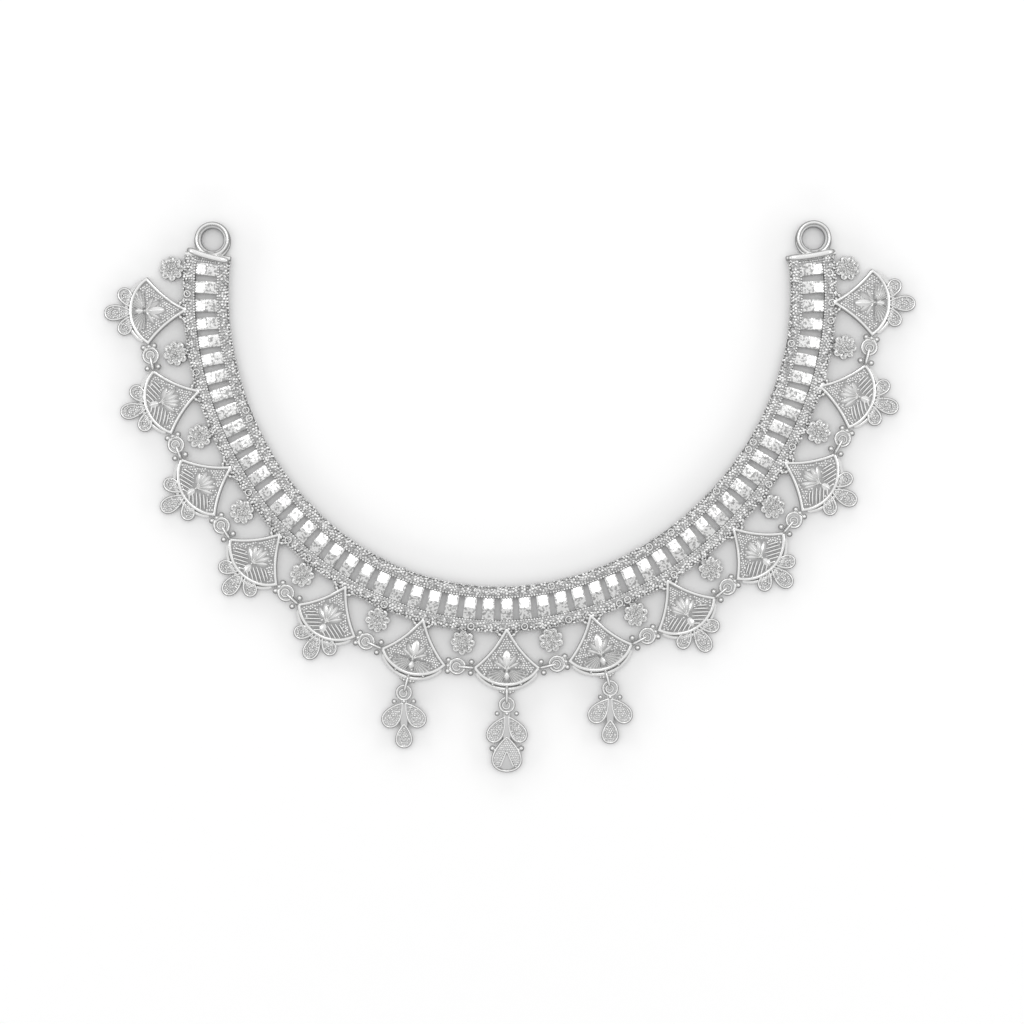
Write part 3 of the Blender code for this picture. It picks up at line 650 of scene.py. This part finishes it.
def fan_body(fan):
    """Plate, polished rim, which climbs towards the fan's point, and the second rim below the arc."""
    steps = [(0.3, FIELD_LEVEL), (0.7, FIELD_LEVEL), (0.97, FIELD_LEVEL), (1.0, FIELD_LEVEL - 0.1),
             (1.0, 0.05), (0.5, 0.0)]
    fan.add(pillow(fan_outline(0.15), steps, PLATE_MIDDLE), "ground")
    rim = np.array([(-0.5, -0.75), (-0.5, 0.55), (-0.36, 0.74), (0.0, 0.82), (0.36, 0.74),
                    (0.5, 0.5), (0.5, -0.75)]) * (RIM_WIDTH, 1.0)
    edge = fan_outline(RIM_WIDTH / 2)
    climb = 0.78 + 0.35 * np.clip(1 - edge[:, 1] / 2.2, 0, 1)
    fan.add(sweep(lifted(edge, climb), rim, loop=True))
    turn = np.linspace(-SKIRT_SHARE, SKIRT_SHARE, SKIRT_STEPS) * ARC_TURN
    bulge = np.sqrt(np.clip(1 - (turn / turn[-1]) ** 2, 0, 1))
    reach = ARC_RADIUS - 0.1 + SKIRT_REACH * bulge
    skirt = stacked(reach * np.sin(turn), ARC_MIDDLE + reach * np.cos(turn), SKIRT_LEVEL)
    section = np.array([(-0.4, -0.3), (-0.4, 0.25), (0.0, 0.3), (0.2, 0.2), (0.3, -0.05), (0.3, -0.3)])
    fan.add(sweep(skirt, section))


print("fan arc radius in mm:", round(ARC_RADIUS, 2), "half turn:", round(math.degrees(ARC_TURN), 1))

# %% [markdown]
# ## Fan plaques: the leaf motif
# Leaves spring from one point on the field. Five fans have a lance among narrow leaves, and on either side
# of the bud below a broad shell, cut with grooves that spread from the same point. The others have a tulip
# over slanted bars. A leaf is its outline filled from side to side, and a shell is a sector of a circle. Its
# ribs are a cosine added to a crowned height, so that their slopes catch the light as chasing does.

# %% Fan plaques: the leaf motif
# Leaves: turn from the fan's point in degrees, length, width, height.
# Shells: first and last turn in degrees, reach, ribs, height.
# Bars, each with its mirror image: place across their common direction, start along it, length.
LANCE_MOTIF = {
    "leaves": ((0, 4.3, 1.45, 0.34), (33, 3.7, 0.8, 0.3), (-33, 3.7, 0.8, 0.3), (58, 3.3, 0.7, 0.26),
               (-58, 3.3, 0.7, 0.26), (180, 2.2, 1.1, 0.3)),
    "shells": ((84, 166, 4.2, 8, 0.16), (-166, -84, 4.2, 8, 0.16)),
    "bars": (),
}
TULIP_MOTIF = {
    "leaves": ((9, 4.3, 0.92, 0.3), (-9, 4.3, 0.92, 0.3), (29, 4.1, 0.9, 0.3), (-29, 4.1, 0.9, 0.3),
               (50, 3.7, 0.82, 0.28), (-50, 3.7, 0.82, 0.28), (180, 2.3, 1.3, 0.3)),
    "shells": (),
    "bars": ((-1.45, 1.1, 1.2), (-0.72, 0.9, 2.3), (0.0, 0.8, 3.0), (0.72, 0.9, 3.3), (1.45, 1.3, 2.9),
             (2.1, 1.9, 2.1)),
}
RIB_HEIGHT, THINNEST, SUNK = 0.11, 0.03, 0.25


def leaf(turn_degrees, length, width, height):
    """Leaf of half width ~ sin(pi t), crowned by 1 - |across|."""
    turn = math.radians(turn_degrees)
    share = 0.5 - 0.5 * np.cos(np.pi * np.arange(17) / 16)
    half = width / 2 * np.sin(np.pi * share ** 1.2) ** 0.8
    along = np.array([math.sin(turn), -math.cos(turn)])
    across = np.array([math.cos(turn), math.sin(turn)])
    side = np.linspace(-1, 1, 9)
    flat = MOTIF + share[:, None, None] * length * along + (half[:, None] * side)[..., None] * across
    fade = np.sin(np.pi * np.clip(share, 0.02, 0.98))[:, None] ** 0.4
    level = fade * height * (0.3 + 0.7 * (1 - np.abs(side)))
    return stood_up(flat[1:-1], np.maximum(level[1:-1], THINNEST), flat[0, 0], flat[-1, 0])


def shell(first, last, reach, ribs, height):
    """Sector of a circle round the motif's middle: reach 1 - |2s - 1|^3 / 3 at the share s of its turn, with
    ridges that follow the cosine of as many turns as it has ribs."""
    columns = np.linspace(0, 1, 6 * ribs + 1)
    turn = np.radians(first + (last - first) * columns)
    edge = reach * (1 - np.abs(2 * columns - 1) ** 3 / 3) * np.where(np.abs(turn) > 2.4, 0.88, 1.0)
    share = np.linspace(0.16, 1, 9)
    flat = MOTIF + (share[:, None] * edge)[..., None] * stacked(np.sin(turn), -np.cos(turn))
    fade = np.sin(np.pi * np.clip(share, 0, 0.97))[:, None] ** 0.45
    ridges = RIB_HEIGHT * share[:, None] ** 0.5 * (0.8 + np.cos(2 * np.pi * ribs * columns))
    level = fade * height * (1 - (2 * columns - 1) ** 4) + ridges
    return stood_up(flat, np.maximum(level, THINNEST), flat[0].mean(0), flat[-1].mean(0))


def stood_up(flat, level, root, tip):
    """A closed relief over the field: the grid of heights, two low corners under each row, and two ends."""
    upper = stacked(flat[..., 0], flat[..., 1], FIELD_LEVEL + level)
    under = stacked(flat[:, [-1, 0], 0], flat[:, [-1, 0], 1], FIELD_LEVEL - SUNK)
    ends = np.array([[*root, FIELD_LEVEL], [*tip, FIELD_LEVEL]])
    return skin(np.concatenate([upper, under], axis=1), poles=ends)


print("leaves in the motifs:", len(LANCE_MOTIF["leaves"]), "and", len(TULIP_MOTIF["leaves"]))

# %% [markdown]
# ## Fan plaques: filling the field
# Each fan's leaves are turned a little, as a hand would set them. The bars are wires, and each has its mirror
# image. Fine granules fill the rest: they stand in even rows, and those under a leaf, a shell or a bar are
# left out.

# %% Fan plaques: filling the field
BAR_TURN, BAR_WIRE, BAR_ROOM = math.radians(118), 0.24, 0.15
FIELD_PITCH, FIELD_RADIUS, ROW_RATIO, FIELD_MARGIN = 0.5, 0.225, 0.87, 0.14


def inside_fan(spots, margin):
    """True where a spot is inside the fan's edge by the margin: the outline winds once round it, and its
    distance to the nearest line of the outline is more than the margin."""
    edge = fan_outline()
    ray = edge[None] - spots[:, None]
    after = np.roll(ray, -1, axis=1)
    turn = np.arctan2(ray[..., 0] * after[..., 1] - ray[..., 1] * after[..., 0], (ray * after).sum(-1))
    line = after - ray
    share = np.clip(-(ray * line).sum(-1) / np.maximum((line ** 2).sum(-1), 1e-9), 0, 1)
    nearest = np.linalg.norm(ray + share[..., None] * line, axis=-1).min(1)
    return (np.abs(turn.sum(1)) > np.pi) & (nearest > margin)


def fan_bar(fan, side, shift, start, length, spots):
    """One slanted bar, thinner towards its ends, and which of the spots are clear of it."""
    ray = np.array([side * math.sin(BAR_TURN), -math.cos(BAR_TURN)])
    aside = np.array([side * -math.cos(BAR_TURN), -math.sin(BAR_TURN)])
    first = MOTIF + start * ray + shift * aside
    share = np.linspace(0, 1, 7)
    path = lifted(first + share[:, None] * length * ray, FIELD_LEVEL + 0.1)
    fan.add(wire(path, BAR_WIRE, sides=6, size=1 - 0.5 * np.abs(2 * share - 1) ** 4), "chased")
    along, off = (spots - first) @ ray, (spots - first) @ aside
    return (along < -BAR_ROOM) | (along > length + BAR_ROOM) | (np.abs(off) > 0.36)


def fan_motif(fan, motif):
    """The leaves, shells and bars, and rows of granules between them."""
    u, v = np.meshgrid(np.arange(-6.6, 6.6, FIELD_PITCH), np.arange(0.3, 10.2, ROW_RATIO * FIELD_PITCH))
    u = u + np.where(np.arange(len(u)) % 2, FIELD_PITCH / 2, 0)[:, None]
    spots = stacked(u.ravel(), v.ravel()) + fan.rng.normal(0, 0.04, (u.size, 2))
    spots = spots[inside_fan(spots, RIM_WIDTH + FIELD_MARGIN)]
    away = spots - MOTIF
    bearing, distance = np.arctan2(away[:, 0], -away[:, 1]), np.linalg.norm(away, axis=1)
    free = np.ones(len(spots), bool)
    for turn, length, width, height in motif["leaves"]:
        swing = turn + fan.rng.normal(0, 2.5)
        length = length * fan.rng.uniform(0.95, 1.05)
        fan.add(leaf(swing, length, width, height), "chased")
        off = bearing - math.radians(swing)
        along, across = distance * np.cos(off), distance * np.sin(off)
        free &= (along < 0) | (along > length) | (np.abs(across) > 0.42 * width + 0.1)
    for first, last, reach, ribs, height in motif["shells"]:
        fan.add(shell(first, last, reach, ribs, height), "grooved")
        share = (np.degrees(bearing) - first) / (last - first)
        free &= (share < 0) | (share > 1) | (distance > reach * 0.97)
    for shift, start, length in motif["bars"]:
        for side in (-1, 1):
            free &= fan_bar(fan, side, shift, start, length, spots)
    fan.balls([[*MOTIF, FIELD_LEVEL + 0.4]], 0.3, 10, 6)
    spots = spots[free]
    level = FIELD_LEVEL + 0.05 + fan.rng.normal(0, 0.03, len(spots))
    fan.granules(lifted(spots, level), FIELD_RADIUS * fan.rng.uniform(0.88, 1.1, len(spots)), "field")


print("the field's granules in mm:", FIELD_RADIUS, "in radius,", FIELD_PITCH, "apart")

# %% [markdown]
# ## Lobes of filigree
# The outer fans end in three lobes, and the drops are made of the same lobes: a teardrop of wire, a second
# thinner wire inside it, and granules on a thin ground. The teardrop's half width follows sin t sin(t/2).

# %% Lobes of filigree
TEARDROP_PEAK = 4 / (3 * math.sqrt(3))
LOBE_EDGE, LOBE_PITCH, INNER_SHARE = 0.5, 0.42, 0.56
# The lobes of a trefoil: shift to the side, turn in degrees, length, width.
TREFOIL = ((0.0, 0.0, 5.9, 3.35), (0.9, 60, 4.6, 3.0), (-0.9, -60, 4.6, 3.0))


def lobe_axes(turn):
    """Unit vectors across and along a lobe."""
    return np.array([math.cos(turn), -math.sin(turn)]), np.array([math.sin(turn), math.cos(turn)])


def lobe_half(t, width):
    """Half width of a teardrop: width / 2 times sin t sin(t/2) over the greatest value of that."""
    return 0.5 * width * np.sin(t) * np.sin(t / 2) / TEARDROP_PEAK


def teardrop(root, turn, length, width):
    """Outline of a teardrop with its point at the root, at the reach length (1 - cos t) / 2."""
    t = turns(40, 0.5)
    across, along = lobe_axes(turn)
    reach = 0.5 * length * (1 - np.cos(t))
    return root + lobe_half(t, width)[:, None] * across + reach[:, None] * along


def inside_lobe(spots, root, turn, length, width, margin):
    """True where a spot lies inside the teardrop by the margin: |across| < half width at its reach."""
    across, along = lobe_axes(turn)
    reach, side = (spots - root) @ along, (spots - root) @ across
    t = np.arccos(np.clip(1 - 2 * reach / length, -1, 1))
    return (reach > 0) & (reach < length - margin) & (np.abs(side) < lobe_half(t, width) - margin)


def scaled_share(spots, middle, rim):
    """How far out a spot lies: its distance from the middle over the rim's distance in that direction."""
    ray, edge = spots - middle, rim - middle
    bearing, edge_bearing = np.arctan2(ray[:, 1], ray[:, 0]), np.arctan2(edge[:, 1], edge[:, 0])
    order = np.argsort(edge_bearing)
    reach = np.interp(bearing, edge_bearing[order], np.linalg.norm(edge, axis=1)[order], period=2 * np.pi)
    return np.linalg.norm(ray, axis=1) / reach


def lobe(piece, root, turn, length, width, level, inner=True, bare=None):
    """One lobe: ground, rim wire, inner wire and granules on a fine grid inside the outline. Bare, a pair of
    where it begins and how fast it widens, leaves the ground free there."""
    turn = math.radians(turn)
    rim = teardrop(root, turn, length - LOBE_EDGE, width - LOBE_EDGE)
    middle = teardrop(root, turn, length, width).mean(0)
    piece.add(pillow(rim, [(0.5, level - 0.12), (0.98, level - 0.12), (1.0, level - 0.2), (1.0, 0.12),
                           (0.5, 0.1)]), "plain")
    piece.add(wire(lifted(rim, level), 0.25, loop=True))
    if inner:
        piece.balls([[*middle, level + 0.1]], 0.38, 8, 5)
        ring = middle + (rim - middle) * INNER_SHARE
        piece.add(wire(lifted(ring, level + 0.02), 0.15, loop=True, sides=6), "filigree")
    low, high = rim.min(0), rim.max(0)
    grid = stacked(*np.meshgrid(*(np.arange(low[axis], high[axis], LOBE_PITCH) for axis in (0, 1))))
    grid[::2, :, 0] += LOBE_PITCH / 2
    spots = grid.reshape(-1, 2)
    inside = inside_lobe(spots, root, turn, length - LOBE_EDGE, width - LOBE_EDGE, 0.30)
    if inner:
        inside &= np.abs(scaled_share(spots, middle, rim) - INNER_SHARE) > 0.11
    if bare is not None:
        inside &= np.abs(spots[:, 0]) > (spots[:, 1] - bare[0]) * bare[1]
    spots = spots[inside]
    if len(spots):
        spots = spots + piece.rng.normal(0, 0.03, spots.shape)
        piece.granules(lifted(spots, level - 0.02), 0.19, "filigree")


def pair(across, out, level):
    """Two mirrored places, the right one first."""
    return np.array([[across, out, level], [-across, out, level]])


def trefoil(fan):
    """The three lobes beyond the arc, and a granule between each two."""
    for shift, turn, length, width in TREFOIL:
        lobe(fan, (shift, FAN_REACH - 0.5), turn + fan.rng.normal(0, 2), length, width, 0.78)
    fan.balls(pair(0.95, 11.9, 0.85), 0.32, 8, 6)


print("lobes in a trefoil:", len(TREFOIL))

# %% [markdown]
# ## Hooks and rings between the fans
# Neighbouring fans hold on to each other: a flat ring stands off the corner of one, and a standing wire loop
# on the other passes through it. Two balls guard each joint. The loop is a racetrack path that stands on
# edge, so it goes over the ring's wire and back under it, as real links do.

# %% Hooks and rings between the fans
LINK_WIRE, LINK_LEVEL, LINK_RING, LOOP_HALF, LOOP_WIRE, BOSS_REACH = 0.5, 1.1, 3.5, 0.78, 0.32, 0.45
EYE_WIRE, CURL_WIRE, CURL_INSET, CURL_SHIFT = 0.27, 0.22, 0.72, np.array([0.12, 0.08])
GUARD_RADIUS, GUARD_ASIDE, GUARD_LEVEL = 0.6, 1.12, 1.05


def fan_corner(number, towards):
    """Place on the collar of a fan's corner, on the side of larger (1) or smaller (-1) angles."""
    return bend(fan_angle(number), FAN_OUT + FAN_CORNER, LINK_LEVEL, -towards * FAN_HALF)


def ring_centre(number):
    """The ring stands off the corner nearer the middle of the collar, on the line to its neighbour."""
    inwards = -1 if number > 0 else 1
    own, other = fan_corner(number, inwards), fan_corner(number + inwards, -inwards)
    return own + unit(other - own) * (BOSS_REACH + LINK_RING / 2)


def to_fan(number, place):
    """A place on the collar in the fan's own directions."""
    angle = fan_angle(number)
    flat = place[:2] - bend(angle, FAN_OUT, 0.0)[:2]
    return np.array([flat @ (-math.cos(angle), -math.sin(angle)), flat @ (math.sin(angle), -math.cos(angle)),
                     place[2]])


def eye(piece, centre, diameter):
    """A flat wire ring with a thin disc and a smaller curl of wire inside it."""
    middle = (diameter - LINK_WIRE) / 2
    piece.add(wire(lifted(circle(middle, 32, centre[:2]), centre[2]), EYE_WIRE, loop=True))
    curl = lifted(circle(middle - CURL_INSET, 20, centre[:2] + CURL_SHIFT), centre[2] - 0.08)
    piece.add(wire(curl, CURL_WIRE, loop=True, sides=6))
    level = centre[2] - 0.22
    piece.add(pillow(circle(middle - 0.1, 24, centre[:2]),
                     [(0.4, level), (1.0, level), (1.0, level - 0.2), (0.4, level - 0.2)]), "plain")


def loop_through(piece, start, end):
    """Standing loop from start to end: two straight runs joined by half circles, in an upright plane."""
    length = np.linalg.norm(end - start)
    along = (end - start) / length
    radius = min(LOOP_HALF, 0.45 * length)
    turn = np.linspace(-0.5, 0.5, 9) * np.pi
    far = stacked(length - radius + radius * np.cos(turn), LOOP_HALF * np.sin(turn))
    near = stacked(radius - radius * np.cos(turn), -LOOP_HALF * np.sin(turn))
    run = np.concatenate([far, near])
    path = start + run[:, :1] * along + run[:, 1:] * (0, 0, 1.0)
    piece.add(wire(path, LOOP_WIRE, loop=True, up=np.cross(along, (0, 0, 1.0))))


def guard_balls(piece, corner, towards):
    """Two balls beside a corner, either side of the line towards the link."""
    along = unit((towards - corner)[:2])
    across = np.array([-along[1], along[0]])
    for side in (-1, 1):
        spot = corner[:2] + along * 0.35 + side * across * GUARD_ASIDE
        piece.balls([[*spot, GUARD_LEVEL]], GUARD_RADIUS)


print("ring to the right of the middle fan, in mm:", ring_centre(1).round(2))

# %% [markdown]
# ## Cast the thirteen fans
# All the fans share one outline and take one of the two motifs. A seed for each gives it the small
# differences of handwork. The three lowest carry the loops for the drops instead of a trefoil.

# %% Cast the thirteen fans
DROP_RING, DROP_HANG = 3.4, 3.75
APEX_BALLS, APEX_RADII = np.array([[1.45, 0.2, 1.25], [1.95, -0.4, 1.25]]), np.array([0.48, 0.42])


def fan_plaque(number):
    """One fan in its own directions, carried to its place on the collar."""
    fan = Casting(seed=100 + number)
    fan_body(fan)
    fan_motif(fan, LANCE_MOTIF if abs(number) in (0, 1, 6) else TULIP_MOTIF)
    for side in (-1, 1):
        fan.balls(APEX_BALLS * (side, 1, 1), APEX_RADII, 10, 6)
    inwards = -1 if number > 0 else 1
    if number:
        corner = to_fan(number, fan_corner(number, inwards))
        centre = to_fan(number, ring_centre(number))
        eye(fan, centre, LINK_RING)
        fan.balls([corner + unit(centre - corner) * 0.35], 0.5)
        guard_balls(fan, corner, centre)
    for towards in (-1, 1):
        if number * towards < 0 or abs(number) == FANS_EACH_SIDE:
            continue
        corner = to_fan(number, fan_corner(number, towards))
        centre = to_fan(number, ring_centre(number + towards))
        loop_through(fan, corner - unit(centre - corner) * 0.3, centre)
        guard_balls(fan, corner, centre)
    if abs(number) >= 2:
        trefoil(fan)
    else:
        hang = np.array([0.0, FAN_REACH + DROP_HANG, LINK_LEVEL])
        loop_through(fan, np.array([0.0, FAN_REACH + 0.2, LINK_LEVEL]), hang - (0, 0.2, 0))
        fan.balls(pair(0.65, FAN_REACH + 1.25, 0.95), 0.42)
        fan.balls(pair(1.3, FAN_REACH + 1.1, 0.9), 0.3, 10, 6)
    angle = fan_angle(number)

    def carry(points):
        return bend(angle, FAN_OUT + points[:, 1], points[:, 2], points[:, 0])

    name = f"fan_{number + FANS_EACH_SIDE + 1:02d}"
    fan.cast(f"plaque_{name}", name, carry)


for number in range(-FANS_EACH_SIDE, FANS_EACH_SIDE + 1):
    fan_plaque(number)

# %% [markdown]
# ## Rosettes
# A small flower sits on the band's edge between each two fans, and one beyond the last fan at each end. It is
# a round disc with eight low petals, each edged with a fine wire, and rings of granules on them.

# %% Rosettes
ROSETTE_RADIUS, PETALS_ROUND, HALF_PETAL = 2.15, 8, math.pi / 8
PETAL_MIDDLE, PETAL_SIZE, PETAL_WIRE = 1.8, 0.7, 0.13
DISC_STEPS = [(0.5, 1.0), (0.95, 0.95), (1.0, 0.8), (1.0, 0.05), (0.6, 0.0)]
PETAL_STEPS = [(0.4, 1.02), (0.8, 0.98), (0.96, 0.88), (1.0, 0.7), (1.0, 0.2), (0.6, 0.15)]
# Rings of granules: radius, how many, size, level, turn.
ROSETTE_RINGS = (
    (PETAL_MIDDLE, PETALS_ROUND, 0.3, 1.08, 0), (1.3, PETALS_ROUND, 0.25, 1.1, 0),
    (1.45, PETALS_ROUND, 0.22, 1.08, HALF_PETAL), (0.92, PETALS_ROUND, 0.25, 1.14, HALF_PETAL),
    (0.5, 5, 0.27, 1.16, 0.2),
)


def rosette(number, angle):
    """Petals round a disc, each with a wire round its edge, and rings of granules from them inwards."""
    flower = Casting(seed=300 + number)
    start = flower.rng.uniform(0, 2 * np.pi)
    flower.add(pillow(circle(ROSETTE_RADIUS - 0.3, 40), DISC_STEPS), "flower")
    for petal in circle(PETAL_MIDDLE, PETALS_ROUND, start=start):
        flower.add(pillow(circle(PETAL_SIZE, 14, petal), PETAL_STEPS), "flower")
        edge = lifted(circle(PETAL_SIZE - 0.1, 14, petal), 0.98)
        flower.add(wire(edge, PETAL_WIRE, loop=True, sides=6), "filigree")
    for radius, count, size, level, shift in ROSETTE_RINGS:
        spots = lifted(circle(radius, count, start=start + shift), level + flower.rng.normal(0, 0.03, count))
        flower.balls(spots, size * flower.rng.uniform(0.85, 1.08, count), 8, 4, "flower")
    flower.balls([[0, 0, 1.2]], 0.32, 8, 5)
    flower.balls([[-0.25, -ROSETTE_RADIUS, 0.95], [0.3, -ROSETTE_RADIUS - 0.25, 1.0]], 0.36, 8, 5, "flower")

    def carry(points):
        return bend(angle, BAND_WIDTH + 0.3 + ROSETTE_RADIUS + points[:, 1], points[:, 2], points[:, 0])

    name = f"rosette_{number:02d}"
    flower.cast(f"granule_{name}", name, carry)


between = [fan_angle(step + 0.5) for step in range(-FANS_EACH_SIDE, FANS_EACH_SIDE)]
for number, angle in enumerate([-END_ROSETTE_ANGLE, *between, END_ROSETTE_ANGLE], start=1):
    rosette(number, angle)

# %% [markdown]
# ## Drops
# Three drops hang from the lowest fans: a ring, three balls, two leaf-shaped lobes either side of a plain
# strip, and a lobe below. On the middle one a V of wire over a small plate closes the strip. They are built
# pointing up in their own directions and turned to hang down.

# %% Drops
# Length, then for each lobe, in shares of the length: across, down, turn in degrees, reach, width.
CENTRE_DROP = (13.8, ((0.03, 0.18, 31, 0.44, 0.25), (-0.03, 0.18, -31, 0.44, 0.25),
                      (0.0, 0.47, 0, 0.53, 0.45)))
SIDE_DROP = (11.4, ((0.03, 0.19, 37, 0.53, 0.33), (-0.03, 0.19, -37, 0.53, 0.33),
                    (0.0, 0.56, 0, 0.44, 0.31)))
# The V: where it begins and how fast it widens. Its plate: outline and steps.
VEE = (9.0, 0.42)
VEE_PLATE = [(0, 9.2), (1.3, 12.4), (0.6, 13.0), (-0.6, 13.0), (-1.3, 12.4)]
VEE_STEPS = [(0.4, 0.96), (1.0, 0.9), (1.0, 0.6), (0.4, 0.6)]


def drop(number, name, node, pattern):
    """Lobes placed by shares of the drop's length, hung from the ring on its fan."""
    length, lobes = pattern
    piece = Casting(seed=500 + number)
    eye(piece, (0.0, 0.0, LINK_LEVEL), DROP_RING)
    for across, down, turn, reach, width in lobes:
        lowest = turn == 0 and number == 0
        lobe(piece, (across * length, down * length), turn, reach * length, width * length, 0.95,
             inner=not lowest, bare=VEE if lowest else None)
    strip = np.array([[0, 1.5, 0.75], [0, 3.4, 0.8], [0, lobes[-1][1] * length + 0.3, 0.7]])
    piece.add(sweep(strip, oval(1.5, 0.7, 12, 0.25)), "plain")
    for side in (-1, 1):
        piece.balls([[side * 1.95, 1.75, 0.95]], 0.52)
        if number == 0:
            piece.balls([[side * 2.9, 8.75, 0.8]], 0.6)
            if side > 0:
                piece.add(pillow(VEE_PLATE, VEE_STEPS), "plain")
            arm = np.linspace(0, 3.0, 5)
            vee = stacked(side * (VEE[1] * arm + 0.05), VEE[0] + 0.3 + arm, 1.08)
            piece.add(wire(vee, 0.24, sides=6))
    piece.balls([[0, 1.75, 1.0]], 0.5)
    hang = bend(fan_angle(number), FAN_OUT + FAN_REACH + DROP_HANG, 0.0)

    def carry(points):
        return stacked(hang[0] - points[:, 0], hang[1] - points[:, 1], points[:, 2])

    piece.cast(name, node, carry)


drop(-1, "filigree_drop_left", "drop_left", SIDE_DROP)
drop(0, "filigree_drop_centre", "drop_centre", CENTRE_DROP)
drop(1, "filigree_drop_right", "drop_right", SIDE_DROP)

# %% [markdown]
# ## Table, light and camera
# Silver shows what is round it. The photograph has a white table and soft lights beyond the top and at both
# sides, and the slopes that face the bottom stay darker. So three soft boxes hang there, under a pale sky
# that is darker near the ground. Four low ones shade the table, and the silver doesn't reflect them. The
# camera looks straight down, and its lens and height frame the same width as the photograph.

# %% Table, light and camera
FRAME_WIDTH = 0.2048
LOOK_AT = Vector((0.00045, -0.00303, 0.0015))
LENS, SENSOR = 85.0, 36.0
TABLE_HALF, TABLE_LEVEL, PAPER_TONE, PAPER_WANDER = 2, -0.00002, 0.96, 0.01
HORIZON, ZENITH, SKY_LEAN = 0.28, 0.84, 0.25
# Soft boxes: place, size, brightness.
SOFT_BOXES = {
    "top": ((0.003, 0.147, 0.35), (0.09, 0.115), 1.8),
    "left": ((-0.285, 0.06, 0.35), (0.11, 0.14), 1.3),
    "right": ((0.285, 0.06, 0.35), (0.11, 0.14), 1.3),
}
LOW_DISTANCE, LOW_HEIGHT, LOW_SIZE, LOW_BOX = 1.0, 0.21, (1.5, 0.2), 5.4

floor_mesh = bpy.data.meshes.new("table")
corners = [(x * TABLE_HALF, y * TABLE_HALF, TABLE_LEVEL) for x, y in ((-1, -1), (1, -1), (1, 1), (-1, 1))]
floor_mesh.from_pydata(corners, [], [(0, 1, 2, 3)])
floor = placed("table", floor_mesh)
paper = Finish("white_table", metallic=0.0)
tone = paper.noise(6.0) * PAPER_WANDER + PAPER_TONE
paper.feed("Base Color", paper.node("ShaderNodeCombineColor", None, {0: tone, 1: tone, 2: tone}))
paper.shader.inputs["Roughness"].default_value = 0.9
paper.shader.inputs["Specular IOR Level"].default_value = 0.1
floor_mesh.materials.append(paper.material)
floor.visible_glossy = False

world = bpy.data.worlds.new("pale_sky")
bpy.context.scene.world = world
world.use_nodes = True
sky = Network(world.node_tree, "Background")
ray = sky.node("ShaderNodeTexCoord", output="Generated")
away, up = (sky.node("ShaderNodeSeparateXYZ", None, {0: ray}, axis) for axis in "YZ")
rise = sky.node("ShaderNodeMapRange", {"interpolation_type": "SMOOTHSTEP"},
                {"Value": up, "To Min": HORIZON, "To Max": ZENITH})
sky.feed("Color", rise)
sky.feed("Strength", away * SKY_LEAN + 1.0)


def soft_box(name, place, size, brightness, aimed=False):
    """A rectangular lamp, level or aimed at the collar: power = brightness * pi * area."""
    lamp = bpy.data.lights.new(name, "AREA")
    lamp.shape = "RECTANGLE"
    lamp.size, lamp.size_y = size
    lamp.energy = brightness * math.pi * size[0] * size[1]
    holder = placed(name, lamp)
    holder.location = place
    if aimed:
        holder.rotation_euler = (LOOK_AT - Vector(place)).to_track_quat("-Z", "Y").to_euler()
    holder.visible_camera = False
    return holder


for side, (place, size, brightness) in SOFT_BOXES.items():
    soft_box(f"soft_box_{side}", place, size, brightness)
for side, (x, y) in {"far": (0, 1), "near": (0, -1), "left": (-1, 0), "right": (1, 0)}.items():
    place = (x * LOW_DISTANCE, y * LOW_DISTANCE, LOW_HEIGHT)
    soft_box(f"low_box_{side}", place, LOW_SIZE, LOW_BOX, aimed=True).visible_glossy = False

camera_data = bpy.data.cameras.new("camera")
camera_data.lens, camera_data.sensor_width = LENS, SENSOR
camera_data.clip_start, camera_data.clip_end = 0.01, 20.0
camera = placed("camera", camera_data)
camera.location = LOOK_AT + Vector((0, 0, FRAME_WIDTH * LENS / SENSOR))
bpy.context.scene.camera = camera
bpy.context.scene.view_settings.view_transform = "Standard"
print("camera height in m:", round(camera.location.z, 3))
